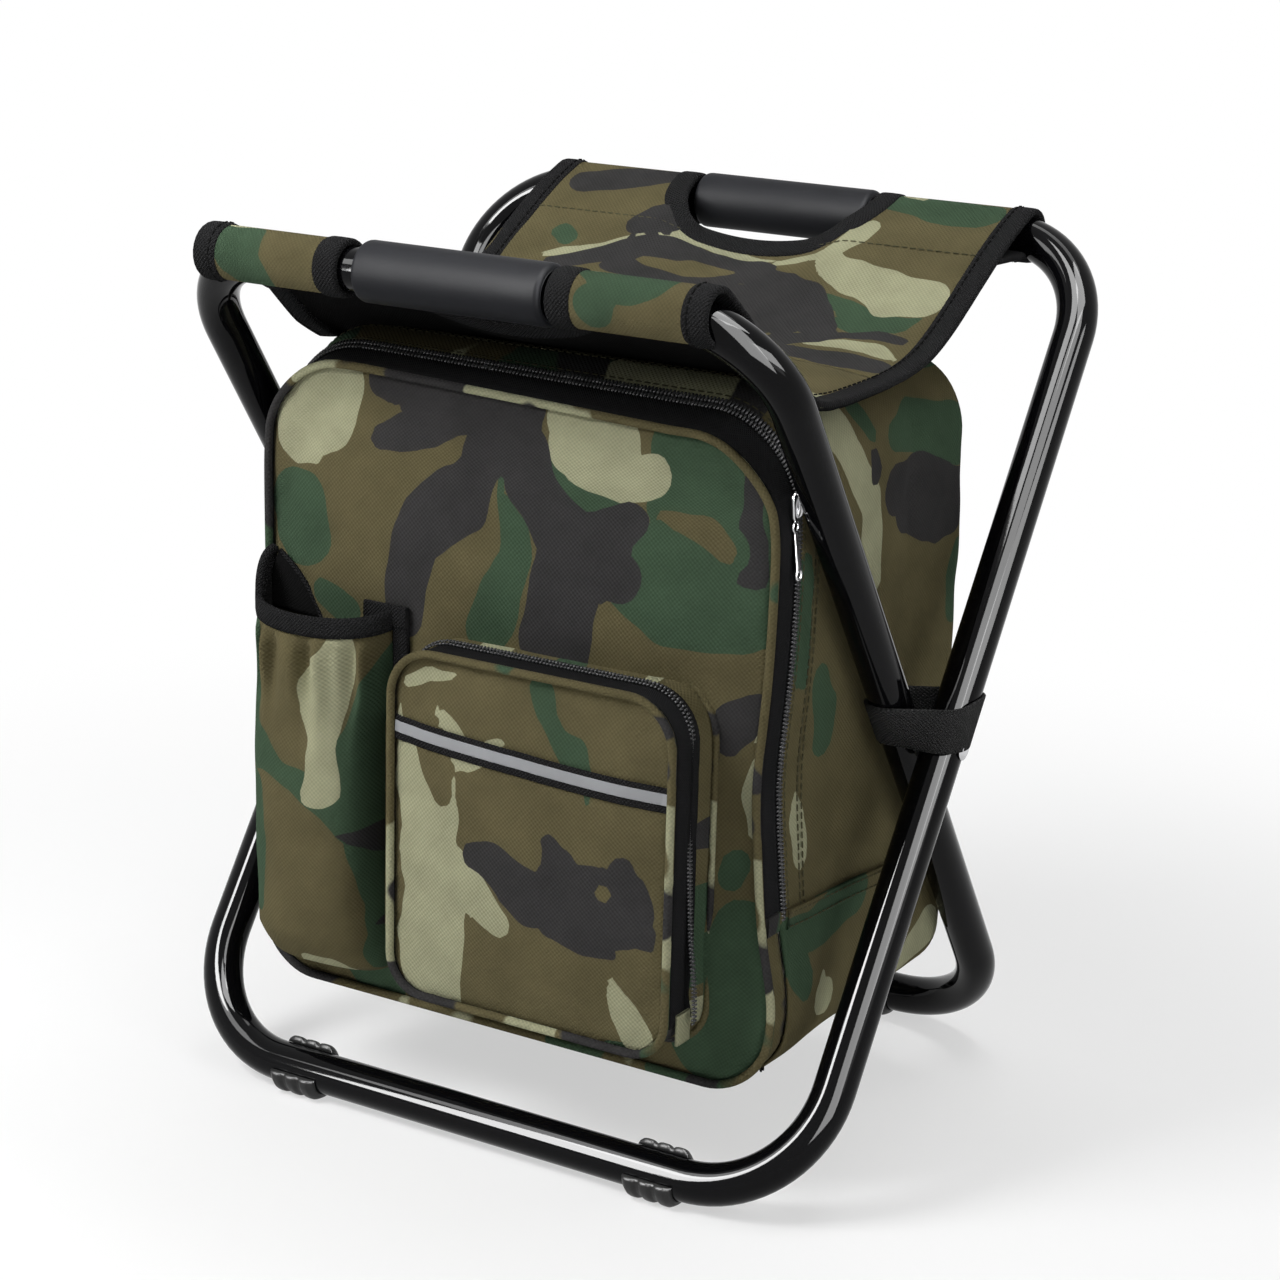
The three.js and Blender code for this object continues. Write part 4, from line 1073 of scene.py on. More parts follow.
def bag_body():
    depths = np.arange(ZIP_LINE + 9, BAG_BACK - BACK_EDGE, LOFT_STEP)
    rows = [(0.0, y) for y in depths]
    rows += [(-BACK_EDGE * (1 - math.cos(a)), BAG_BACK - BACK_EDGE * (1 - math.sin(a)))
             for a in np.radians(np.linspace(0, BACK_EDGE_END, 7))]
    points = band_points(bag_stations, rows)
    out = upright(bag_stations[1], 0)[:, None]
    y, z = points[..., 1], points[..., 2]
    side = np.abs(out[..., 0]) ** 2
    middle = np.clip(1 - np.abs(y - BELLY_MIDDLE) / BELLY_HALF, 0, 1)
    belly = middle * sum(bump(z, *settings) for settings in BELLIES)
    fold = CREASE_DEPTH + CREASE_LEAN * (z - CREASE_FROM)
    crease = bump(y, fold, CREASE_REACH) * bump(z, *CREASE_BUMP)
    swell = bump(y, *SWELL_DEPTH) * bump(z, *SWELL_BUMP)
    slack = ripple(points, 38.0, 1.5, 3.7) + ripple(points, 15.0, 0.45, 9.1)
    slack *= np.clip((y - depths[0]) / SLACK_EDGE, 0, 1)
    points = points + out * (side * (belly + crease + swell) + slack)[..., None]
    made = grid("bag_gusset", slouch(points), camo_side, around=True)
    paint(made, points[..., 1:], SIDE_PRINT, where=on_right(points))
    camo(thicken(made, 1.4, inside=black_lining), "bag", "bag_shell")

    inset = BACK_EDGE * (1 - math.cos(math.radians(BACK_EDGE_END))) + 0.2
    face = rounded_grid(BAG_OUTLINE, np.array(BAG_CORNERS) - inset, inset, 5.0)
    y = BAG_BACK - 0.6 + 0.8 * crown_of(face, BAG_OUTLINE) + ripple(upright(face, 0), 40.0, 0.8, 5.5)
    back = thicken(grid("bag_back_panel", upright(face, y), camo_back, uv=face), 1.4)
    camo(back, "bag")


def cup_layer(name, stands_for, inset, material, slot):
    """A layer inside the bag: walls and back in one skin."""
    outline = np.array(BAG_OUTLINE) + inset * np.array([1, -1, 1, -1])
    stations = rounded(*outline, BAG_LOW_CORNER - inset / 2, BAG_HIGH_CORNER - inset, 8.0)
    back = BAG_BACK - inset
    rows = [(0.0, y) for y in np.linspace(ZIP_LINE + 1.5, back - CUP_EDGE, 16)]
    rows += [(-CUP_EDGE * (1 - math.cos(a)), back - CUP_EDGE * (1 - math.sin(a)))
             for a in np.radians((30, 60, 90))]
    points = band_points(stations, rows)
    rim = points[:, -1:]
    centre = np.array([0, back, (BAG_FLOOR + BAG_TOP) / 2])
    points = np.concatenate([points] + [rim + (centre - rim) * share for share in CUP_CLOSING], axis=1)
    points = points + ripple(points, 30.0, 0.9, inset)[..., None] * np.array([1, 0, 1])
    made = thicken(grid(name, slouch(points), material, around=True), 0.8)
    put(made, "bag", slot, stands_for)


def bag_inside():
    cup_layer("bag_liner_film", "bag_liner", LINER_INSET, liner_foil, "liner_foil")
    cup_layer("bag_foam", "bag_insulation", FOAM_INSET, white_foam, "foam_white")
    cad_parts["base_board"].data.materials[0] = clip_plastic


# Zips

ZIP_SEAM = ZIP_LINE + 4
HEM_FRONT = ZIP_LINE + 7
HEM_BACK = ZIP_LINE + 21
HEM_SECTION = (
    (0.4, HEM_FRONT), (1.3, HEM_FRONT + 0.4), (1.5, HEM_FRONT + 3),
    (1.3, HEM_BACK - 3), (1.1, HEM_BACK - 0.4), (0.2, HEM_BACK),
)
HEM_STITCHES = (("front", HEM_FRONT + 1.6), ("back", HEM_BACK - 1.8), ("side", HEM_BACK + 1.6))
STITCH_OUT = 1.2
TOOTH_PITCH = 1.8
COIL_RISE = 0.8


def zip_halves(prefix, stations, seam, halves, lift, overlap, reach, radius):
    """Two tapes along a zip's line, each with its teeth; a half is (name, body, front, back, side)."""
    line, normal = stations
    place = resample(line, TOOTH_PITCH)
    out = between(np.linspace(0, 1, len(place)), np.linspace(0, 1, len(line)), normal)
    tapes = []
    for name, body, front, back, side in halves:
        band = band_points(stations, [(lift, y) for y in np.linspace(front, back, 5)])
        tape = thicken(grid(f"{prefix}_tape_{name}_cloth", band, zip_tape), 0.9)
        tapes.append(put(tape, body, "zip_cloth", f"{prefix}_tape_{name}"))
        at = place + out * (lift + COIL_RISE) + (place[1] - place[0]) * 0.5 * (side > 0)
        starts, ends = (slouch(upright(at, y)) for y in (seam - side * overlap, seam + side * reach))
        put(capsules(f"{prefix}_coil_{name}", starts, ends, radius, coil_plastic), body, "zip_cloth")
    return tapes


def main_zip():
    stations = arch(-BAG_HALF_WIDTH, BAG_HALF_WIDTH, ZIP_END - 4, BAG_TOP, BAG_HIGH_CORNER, LOFT_STEP)
    halves = (
        ("flap", "front_flap", FLAP_FACE + 1.5, ZIP_SEAM - 0.3, -1),
        ("bag", "bag", ZIP_SEAM + 0.3, ZIP_LINE + 10.0, 1),
    )
    tapes = zip_halves("zip", stations, ZIP_SEAM, halves, lift=0.7, overlap=0.45, reach=2.3, radius=0.66)
    for tape in tapes:
        moved = slouch(places(tape)) * MM
        tape.data.vertices.foreach_set("co", moved.astype(np.float32).ravel())
        tape.data.update()
    points = band_points(stations, HEM_SECTION)
    hem = thicken(grid("zip_hem", slouch(points), camo_side), 0.8)
    paint(hem, points[..., 1:], SIDE_PRINT, where=on_right(points))
    camo(hem, "bag")
    line, normal = stations
    out = upright(normal, 0)
    for name, y in HEM_STITCHES:
        path = slouch(upright(line, y) + out * STITCH_OUT)
        camo(stitches(f"zip_hem_stitch_{name}", path, out, thread_olive), "bag")


# Lower part of the bag

BOOT_SLOPE = 0.09
BOOT_HEM = 9
BOOT_LIFT = 1.6
BOOT_STATIONS = 90
BOOT_FADE = (100, 25)
HEM_TOP = 0.6


def boot_line(y):
    """The lower part's outline at one depth, from its right top round to its left; it falls to the back."""
    top = ZIP_END - BOOT_SLOPE * (y - ZIP_LINE)
    half, corner = BAG_HALF_WIDTH + BOOT_LIFT, BAG_LOW_CORNER + BOOT_LIFT
    middle = BAG_FLOOR - BOOT_LIFT + corner
    line = np.vstack([
        [[half, top]], arc(half - corner, middle, corner, 0, -90, 16),
        arc(-half + corner, middle, corner, -90, -180, 16), [[-half, top]],
    ])
    return upright(resample(line, count=BOOT_STATIONS), y)


def boot():
    """One cloth laid over the walls and bottom, with a folded hem."""
    depths = np.linspace(ZIP_LINE + 0.2, BAG_BACK - BACK_EDGE + 2, 40)
    points = np.stack([boot_line(y) for y in depths], axis=1)
    tops = points[:, 1:]
    slack = ripple(points, 34.0, 0.8, 12.3)
    points = points + slack[..., None] * np.sign(points) * np.array([1, 0, 0])
    made = grid("bag_boot", slouch(points), camo_boot)
    paint(made, points[..., 1:], BOOT_PRINT, where=on_right(points, BOOT_FADE))
    camo(thicken(made, 1.2), "bag")
    for name, side, top in (("right", 1, tops[0]), ("left", -1, tops[-1])):
        out = (side, 0, 0)
        middle = -BOOT_HEM / 2 + HEM_TOP
        path = slouch(top + (side * 1.0, 0, middle))
        hem = swept(f"boot_hem_{name}", path, out, pillow(BOOT_HEM, 1.6, 16, 5), camo_boot)
        paint(hem, places(hem)[:, 1:], BOOT_PRINT)
        camo(hem, "bag")
        for row, drop in (("upper", 1.6), ("lower", BOOT_HEM - 1.8)):
            seam = slouch(top + (side * 1.8, 0, HEM_TOP - drop))
            camo(stitches(f"boot_stitch_{row}_{name}", seam, out, thread_olive), "bag")
        tab = [[side * (BAG_HALF_WIDTH + 1.0), y, ZIP_END + middle]
               for y in np.linspace(FLAP_FACE + 1.5, ZIP_LINE - 0.4, 8)]
        section = pillow(BOOT_HEM, 1.8, 16, 5)
        camo(swept(f"zip_end_tab_{name}", slouch(tab), out, section, camo_trim), "front_flap")


# Front flap

FACE_INSET = 0.8
FLAP_CROWN = 4.8
PLATE_INSET = 2.6
PLATE_CORNER = 2
FLAP_PLATES = (
    ("flap_foam", "flap_insulation", -2.6, white_foam, "foam_white"),
    ("flap_liner_film", "flap_liner", -0.9, liner_foil, "liner_foil"),
)


def piping(name, path, radius, sides):
    """A cord sewn in along a seam."""
    return swept(name, path, TO_FRONT, circle(radius, sides), camo_trim, closed=True)


def flap():
    face = rounded_grid(BAG_OUTLINE, np.array(BAG_CORNERS) - FACE_INSET, FACE_INSET, 4.0)
    crown = crown_of(face, BAG_OUTLINE)
    flat = upright(face, 0)
    slack = (ripple(flat, 46.0, 1.3, 1.3) + ripple(flat, 17.0, 0.4, 6.1)) * np.clip(crown * 6, 0, 1)
    points = slouch(upright(face, FLAP_FACE + SEAM_TUCK - FLAP_CROWN * crown ** 0.6 + slack))
    made = grid("flap_face", points, camo_front, uv=face)
    paint(made, points[..., (0, 2)], FLAP_PRINT)
    settle(made, *face.shape[:2], pressure=0.9, grow=0.006, cap=3.5)
    camo(thicken(made, 1.4, inside=black_lining), "front_flap", "front_flap")

    rim = band_points(bag_stations, [(0.0, y) for y in np.linspace(FLAP_FACE + 0.5, ZIP_LINE - 0.4, 5)])
    made = grid("flap_rim", slouch(rim), camo_side, around=True)
    camo(thicken(made, 1.2, inside=black_lining), "front_flap")

    edge = rounded(*BAG_OUTLINE, *BAG_CORNERS, 3.0)[0]
    path = slouch(upright(edge, FLAP_FACE - PIPING_PROUD))
    camo(piping("flap_piping_cord", path, PIPING_RADIUS, 12), "front_flap", "flap_piping")

    plate = rounded_grid(BAG_OUTLINE, np.array(BAG_CORNERS) - PLATE_CORNER, PLATE_INSET, 8.0)
    for name, stands_for, depth, material, slot in FLAP_PLATES:
        y = ZIP_LINE + depth + ripple(upright(plate, 0), 25.0, 0.25, depth)
        made = thicken(grid(name, slouch(upright(plate, y)), material, uv=plate), 0.8, offset=0.0)
        put(made, "front_flap", slot, stands_for)


# Front pocket

POCKET_CORNERS = (18, 22)
POCKET_STEP = 3.5
POCKET_CROWN = 3.9
POCKET_ZIP_END = 84
WALL_FLARE = 3.0
STRIP_LEFT = 194.0
STRIP_RIGHT = 187.2
STRIP_WIDTH = 5.2
STRIP_BORDER = 11.4


def pocket():
    left, right, low, high = outline = (gusset_low[0], gusset_high[0], gusset_low[2], gusset_high[2])
    stations = rounded(*outline, *POCKET_CORNERS, POCKET_STEP)
    depth = FLAP_FACE - POCKET_SPLIT
    base = band_points(stations, [(WALL_FLARE * share ** 1.5, POCKET_SPLIT + 0.6 + share * (depth - 0.8))
                                  for share in np.linspace(0, 1, 7)])
    base += ripple(base, 20.0, 0.5, 2.2)[..., None] * np.array([1, 0, 1])
    made = thicken(grid("pocket_wall", base, camo_pocket, around=True), 1.3, inside=black_lining)
    paint(made, base[..., (0, 2)], WALL_PRINT)
    camo(made, "front_flap", "pocket_gusset")

    rim = band_points(stations, [(0.0, y) for y in np.linspace(POCKET_FACE + 0.5, POCKET_SPLIT - 0.6, 7)])
    made = grid("pocket_cover_rim", rim, camo_pocket, around=True)
    camo(thicken(made, 1.2, inside=black_lining), "pocket_cover")

    face = rounded_grid(outline, np.array(POCKET_CORNERS) - FACE_INSET, FACE_INSET, POCKET_STEP)
    crown = crown_of(face, outline)
    slack = ripple(upright(face, 0), 36.0, 0.9, 7.3) * np.clip(crown * 6, 0, 1)
    points = upright(face, POCKET_FACE + SEAM_TUCK - POCKET_CROWN * crown ** 0.6 + slack)
    cover = grid("pocket_face", points, camo_pocket, uv=face)
    paint(cover, face, POCKET_PRINT)
    settle(cover, *face.shape[:2], pressure=0.7, grow=0.004, cap=2.5)
    camo(thicken(cover, 1.3, inside=black_lining), "pocket_cover", "pocket_cover")

    edge, normal = rounded(*outline, *POCKET_CORNERS, 3.0)
    cord = piping("pocket_piping_cord", upright(edge, POCKET_FACE - PIPING_PROUD), PIPING_RADIUS, 12)
    camo(cord, "pocket_cover", "pocket_piping")
    path = upright(edge + normal * (WALL_FLARE + 0.6), FLAP_FACE - 2.6)
    camo(piping("pocket_base_piping", path, 1.5, 10), "front_flap")

    zip_line = arch(left, right, POCKET_ZIP_END, high, POCKET_CORNERS[1], POCKET_STEP)
    halves = (
        ("cover", "pocket_cover", POCKET_FACE + 2.2, POCKET_SPLIT - 0.4, -1),
        ("base", "front_flap", POCKET_SPLIT + 0.4, POCKET_SPLIT + 5.5, 1),
    )
    zip_halves("pocket_zip", zip_line, POCKET_SPLIT, halves, lift=0.6, overlap=0.4, reach=2.0, radius=0.6)
    heights = np.linspace(POCKET_ZIP_END + 5, POCKET_ZIP_END - 9, 9)
    for name, side, x in (("right", 1, right), ("left", -1, left)):
        path = [[x + side * 1.2, POCKET_SPLIT - 2.5, z] for z in heights]
        section = pillow(11.0, 1.6, 16, 5)
        tab = swept(f"pocket_zip_end_{name}", path, (side, 0, 0), section, camo_trim)
        paint(tab, np.zeros((len(tab.data.vertices), 2)), {"khaki": [((0, 0, PATCH_REACH),)]})
        camo(tab, "pocket_cover")

    x = np.linspace(left + 2.4, right - 2.4, 40)
    z = np.linspace(STRIP_LEFT, STRIP_RIGHT, len(x))
    path = np.stack([x, face_depth(cover, x, z) - 0.75, z], axis=1)
    section = pillow(STRIP_BORDER, 1.0, 12)
    black(swept("reflective_ribbon", path, TO_FRONT, section, binding), "pocket_cover")
    section = pillow(STRIP_WIDTH, 0.5, 12, 8)
    tape = swept("reflective_tape", path + (0, -0.5, 0.5), TO_FRONT, section, reflective)
    put(tape, "pocket_cover", "reflective_tape", "reflective_strip")


# Zip sliders

BRIDGE_RISE = 1.7
BRIDGE_HALF = 3.4
PULL_LIFT = 2.4
PULL_RING = 2.1
PULL_WIRE = 0.62


def zip_slider(name, side):
    """A cast slider with a bridge for its pull; side is 1 where it faces right."""
    centre, half = centre_and_half(name)
    rows = []
    for t in np.linspace(-1, 1, 17):
        ends = (1 - abs(t) ** 6) ** 0.5
        width = half[1] * (0.76 + 0.24 * fade(t, -1, 2)) * (0.25 + 0.75 * ends)
        thick = half[0] * (0.55 + 0.45 * ends)
        rows.append([centre + (b, a, t * half[2]) for a, b in pillow(2 * width, 2 * thick, 20)])
    steel(grid(f"{name}_body", rows, bright_steel, along=True, caps=True), name, name)
    path = [centre + (side * (half[0] - 0.4 + BRIDGE_RISE * math.sin(a)), 0, -BRIDGE_HALF * math.cos(a))
            for a in np.linspace(0, math.pi, 17)]
    section = pillow(2.6, 1.0, 12, 3)
    steel(swept(f"{name}_bridge", path, (0, 1, 0), section, bright_steel), name)


def zip_pull(name, side):
    """A slender bar with a ring at both ends, hung from the slider's bridge and lifted at its tip."""
    low, high = span(name)
    centre, half = centre_and_half(name)
    tip = centre[0] + side * PULL_LIFT
    for end, x, z in (("top", centre[0], high[2] - PULL_RING + 0.4), ("tip", tip, low[2] + PULL_RING)):
        path = [[x, centre[1] + y, z + rise] for y, rise in circle(PULL_RING, 28)]
        wire = circle(PULL_WIRE, 10)
        steel(swept(f"{name}_{end}_ring", path, (1, 0, 0), wire, bright_steel, closed=True), name)
    rows = []
    for share in np.linspace(0, 1, 16):
        section = pillow(2 * half[1] * (0.82 - 0.32 * share), 2 * half[0] * 0.85)
        x = tip + share * (centre[0] - tip)
        z = low[2] + 2 * PULL_RING + share * (high[2] - low[2] - 4 * PULL_RING + 0.4)
        rows.append([[x + b, centre[1] + a, z] for a, b in section])
    steel(grid(f"{name}_bar", rows, bright_steel, along=True, caps=True), name, name)


def sliders():
    for name, side in (("main_zip", 1), ("pocket_zip", -1)):
        zip_slider(f"{name}_slider", side)
        zip_pull(f"{name}_pull", side)


# Shoulder straps on the back

SHOULDER_SEAM = 14
SHOULDER_BEND = 90
SHOULDER_PAD = 9
PAD_EDGE = 2.0
PAD_TAPER = (0.22, 0.1)
QUILT_PITCH = 26
QUILT_DEPTH = 0.5
STRAP_SEAM = 12
WEBBING_HALF = 0.75


def shoulder_strap(name):
    low, high = span(f"shoulder_strap_{name}")
    out = high[1] - SHOULDER_PAD / 2
    seam = (low[1] + 1.2, high[2] - SHOULDER_SEAM / 2)
    curve = bezier(seam, (out, high[2] - 1.5 * SHOULDER_SEAM), (out, high[2] - SHOULDER_BEND), 24)
    path = sideways(resample(np.vstack([curve, [[out, low[2]]]]), 4.0), (low[0] + high[0]) / 2)
    up = np.cross(tangents(path), [-1.0, 0, 0])
    width = high[0] - low[0]
    share = np.linspace(0, 1, len(path))
    taper = np.minimum(share / PAD_TAPER[0], (1 - share) / PAD_TAPER[1])
    thick = PAD_EDGE + (SHOULDER_PAD - 2.4) * np.minimum(1, taper) ** 0.6
    across = np.array([1.0, 0, 0])
    points = np.array([
        [point + across * a + turn * b for a, b in pillow(width - 3, full, 28, 3.2)]
        for point, turn, full in zip(path, up, thick)
    ])
    quilting = QUILT_DEPTH * np.cos(path[:, 2] * 2 * math.pi / QUILT_PITCH)
    face = np.sign(((points - path[:, None]) * up[:, None]).sum(2))
    points += up[:, None, :] * (quilting[:, None] * face)[..., None]
    pad = grid(f"shoulder_pad_{name}", points, air_mesh, along=True, caps=True)
    black(pad, "bag", f"shoulder_strap_{name}")
    for end, side in (("inner", -1), ("outer", 1)):
        edge = path + (side * (width / 2 - 1.6), 0, 0)
        section = pillow(3.0, 3.4, 12, 3)
        black(swept(f"shoulder_binding_{name}_{end}", edge, up, section, binding), "bag")


def shoulder_webbing(name):
    low, high = span(f"strap_webbing_{name}")
    buckle = span(f"strap_adjuster_{name}")[0][2]
    near, far = low[1] + WEBBING_HALF, high[1] - WEBBING_HALF
    line = resample([[near, low[2]], [near, low[2] + STRAP_SEAM], [far, buckle], [far, high[2]]], 2.0)
    for _ in range(6):
        line[1:-1] = (line[:-2] + 2 * line[1:-1] + line[2:]) / 4
    path = sideways(line, (low[0] + high[0]) / 2)
    up = np.cross(tangents(path), [1.0, 0, 0])
    section = pillow(high[0] - low[0], 1.4, 16, 6)
    made = swept(f"shoulder_webbing_{name}", path, up, section, webbing)
    black(made, "bag", f"strap_webbing_{name}")
    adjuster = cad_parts[f"strap_adjuster_{name}"]
    adjuster.data.materials[0] = clip_plastic
    bevel = adjuster.modifiers.new("edges", "BEVEL")
    bevel.width = 0.6 * MM
    bevel.segments = 2


def shoulder_straps():
    for name in ("left", "right"):
        shoulder_strap(name)
        shoulder_webbing(name)


# Folded webs that stop the flap

WEB_DEPTH = 16
WEB_HALF_GAP = 1.2


def flap_webs():
    """Cloth folded in at both sides between the bag and the flap, below the zip's ends."""
    heights = np.linspace(BAG_FLOOR + 6, ZIP_END - 6, 16)
    for name, side in (("left", -1), ("right", 1)):
        rows = []
        for z in heights:
            fold = WEB_DEPTH * (z - BAG_FLOOR) / (ZIP_END - BAG_FLOOR)
            rows.append([[side * (BAG_HALF_WIDTH - 2.5 - fold * math.sin(math.pi * t)),
                          ZIP_LINE + WEB_HALF_GAP * (1 - 2 * t), z] for t in np.linspace(0, 1, 13)])
        made = thicken(grid(f"flap_web_{name}", rows, black_lining), 0.6, offset=0.0)
        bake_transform(made)


# Bottle pocket

BOTTLE_FULLNESS = 0.7
BOTTLE_DIP = 5
BOTTLE_PEAK = 16
BOTTLE_COLUMNS = 81
BOTTLE_FOOT = 0.1
FOOT_WIDTH = 0.82
FOOT_DEPTH = 0.5
POUCH_BELLY = 0.14
GATHERS = 6
GATHER_BUMP = (0.93, 0.16, 3.4)
MOUTH_FADE = (1.0, -0.06)
PEAK_FADE = (0.82, 0.18)
POUCH_TURN = 6.5
TURN_TOP = (205, -22)
TURN_FOOT = (60, 25)
TACK_SHIFT = 4.5
ELASTIC_RIDGES = (
    (-4.6, -1.2), (-4.6, 0.9), (-3.4, 2.0), (-1.6, 2.2), (-0.2, 1.3), (0.2, 1.3), (1.6, 2.2), (3.4, 2.0),
    (4.6, 0.9), (4.6, -1.2), (2.0, -1.6), (-2.0, -1.6),
)


def pouch(share, height):
    """A level of the pouch as points round it; share is 0 at the bottom and 1 at the mouth."""
    centre, half = (bottle_low[0] + bottle_high[0]) / 2, (bottle_high[0] - bottle_low[0]) / 2
    depth = bottle_high[1] - bottle_low[1]
    angles = np.linspace(0, math.pi, BOTTLE_COLUMNS)
    bulge = np.clip(np.sin(angles), 0, 1) ** BOTTLE_FULLNESS
    foot = min(1.0, (share / BOTTLE_FOOT) ** 0.5)
    wide = FOOT_WIDTH + (1 - FOOT_WIDTH) * foot
    deep = FOOT_DEPTH + (1 - FOOT_DEPTH) * foot + POUCH_BELLY * math.sin(math.pi * min(1.0, share * 1.25))
    fold = bump(share, *GATHER_BUMP) * fade(share, *MOUTH_FADE)
    gather = fold * (np.sin(GATHERS * 2 * angles + 0.9 * np.sin(3 * angles))
                     + 0.45 * np.sin(GATHERS * 3.3 * angles + 1.0))
    turned_in = POUCH_TURN * fade(height, *TURN_TOP) * fade(height, *TURN_FOOT)
    x = centre + (half * wide + 1.5 * math.sin(math.pi * share)) * np.cos(angles)
    x -= turned_in * np.clip(np.cos(angles), 0, 1) ** 2
    y = FLAP_FACE - 0.4 - (depth * deep + gather) * bulge
    peak = BOTTLE_PEAK * fade(angles / math.pi, *PEAK_FADE)
    z = height - (BOTTLE_DIP * bulge - peak) * max(0.0, (share - 0.3) / 0.7)
    return np.stack([x, y, z], axis=1)


def bottle_pocket():
    shares = np.concatenate([np.linspace(0, 0.1, 6), np.linspace(0.1, 1, 40)[1:]])
    low, top = bottle_low[2], bottle_high[2]
    points = np.array([pouch(share, low + share * (top - low)) for share in shares])
    points[..., 1] += ripple(points, 26.0, 1.6, 4.4) * np.clip((FLAP_FACE - points[..., 1]) / 12, 0, 1)
    made = thicken(grid("bottle_pouch", points, camo_bottle), 1.2, inside=black_lining)
    paint(made, points[..., (0, 2)], BOTTLE_PRINT)
    camo(made, "front_flap", "bottle_pocket")

    mouth = pouch(1.0, top + 3.5)
    out = np.cross(tangents(mouth), [0, 0, 1.0])
    hem = swept("bottle_pocket_hem", mouth, out, ELASTIC_RIDGES, binding)
    black(hem, "front_flap", "bottle_pocket_elastic")

    right, left = mouth[0, 0], mouth[-1]
    tack = right + TACK_SHIFT
    for name, start, end, count, proud, width, thick in (
        ("tack", (tack, top + 8), (tack, top - 26), 12, 1.4, 8.0, 3.0),
        ("patch", (right - 15, top + 4), (tack + 4, top + 4), 8, 2.4, 10.0, 2.6),
    ):
        x, z = np.linspace(start, end, count).T
        path = np.stack([x, face_depth(bpy.data.objects["flap_face"], x, z) - proud, z], axis=1)
        section = pillow(width, thick, 12, 6)
        black(swept(f"bottle_pocket_{name}", path, TO_FRONT, section, binding), "front_flap")

    tip = (left[0] + 6, FLAP_FACE - 4.5, left[2] + 3)
    behind = FLAP_FACE - 4.6
    left_edge = bezier(left + (0, -3, -24), left + (-1, -4, -10), tip, 16)
    back_edge = bezier((left[0] + 30, behind, top - 6), (left[0] + 22, behind, top + 12), tip, 16)
    rows = np.stack([left_edge + (back_edge - left_edge) * t for t in np.linspace(0, 1, 12)], axis=1)
    lining = thicken(grid("bottle_pocket_lining", rows, black_lining), 0.8, offset=0.0)
    black(lining, "front_flap")
    black(swept("bottle_pocket_rim", back_edge, TO_FRONT, circle(1.1, 10), binding), "front_flap")


# Sling seat

CLOTH = 2.0
REAR_LANDING = 112
FRONT_LANDING = 130
REAR_DIPS = ((0, 0), (20, 0.9), (42, 5.0), (65, 14.5), (85, 26.5), (104, 38.0), (122, 47.5))
FRONT_DIPS = ((0, 0), (25, 0.3), (48, 2.0), (65, 7.5), (82, 15.0), (100, 26.5), (118, 40.0))
HANG_AT = (-118, -100, -82, -65, -48, -25, 0, 14, 37, 70)
HANG = (0, 5, 10.5, 12.5, 8.5, 7, 6, 5, 3.5, 0)
HANG_POWER = 5
HOLE_HANG = 9.0
HOLE_FADE_IN = (60, 45)
HOLE_FADE_OUT = (118, -8)
SLEEVE_DRAW = 6.0
SLEEVE_FADE = (-70, -50)
LEFT_RING_FADE = (0, -HAND_HALF_WIDTH)
LEFT_EDGE_FADE = (-SEAT_HALF_WIDTH, 60)
RIGHT_EDGE_FADE = (60, 60)
TAIL_SEAM = 38
SEAT_ROLL_SHIFT = 137.0
BINDING_SINK = 0.8
RAIL_WRAP = TUBE_RADIUS + 2.4


def through(points, count):
    """A smooth line through a few (y, z) points."""
    points = np.array(points, float)
    ahead = np.gradient(points, axis=0)
    at = np.linspace(0, len(points) - 1, count)
    first = np.minimum(at.astype(int), len(points) - 2)
    t = (at - first)[:, None]
    a, b, da, db = points[first], points[first + 1], ahead[first], ahead[first + 1]
    return (a * (1 + 2 * t) * (1 - t) ** 2 + da * t * (1 - t) ** 2
            + b * t * t * (3 - 2 * t) - db * t * t * (1 - t))


def seat_section(side):
    """(y, z) points from the middle to the rail, and on round it and back under to the tail seam."""
    middle = seat_low[2] + CLOTH
    landing, dips = (REAR_LANDING, REAR_DIPS) if side > 0 else (FRONT_LANDING, FRONT_DIPS)
    wrap = arc(RAIL_SPREAD, RAIL_HEIGHT, RAIL_WRAP, landing, -130, 34)
    run = through([(y, middle + z) for y, z in dips] + [wrap[0]], 60)
    seam_y = RAIL_SPREAD - TAIL_SEAM
    seam = np.array([seam_y, np.interp(seam_y, *run.T) - CLOTH - 1.0])
    tail = np.array([wrap[-1] + (seam - wrap[-1]) * s for s in np.linspace(0, 1, 12)[1:]])
    return run, np.vstack([wrap[1:], tail])


def lie(points):
    """Lets the sling's side edges hang over the bag and draws the front sleeves to the left."""
    points = np.array(points, float)
    x, y = points[..., 0], points[..., 1]
    points[..., 2] -= np.interp(y, HANG_AT, HANG) * (np.abs(x) / SEAT_HALF_WIDTH) ** HANG_POWER
    free = fade(np.abs(y), *HOLE_FADE_IN) * fade(np.abs(y), *HOLE_FADE_OUT)
    points[..., 2] -= HOLE_HANG * np.clip(1 - (x / HAND_HALF_WIDTH) ** 2, 0, 1) * free
    left_ring = fade(x, *LEFT_RING_FADE) * fade(x, *LEFT_EDGE_FADE)
    points[..., 0] -= fade(y, *SLEEVE_FADE) * SLEEVE_DRAW * (left_ring + fade(x, *RIGHT_EDGE_FADE))
    return points


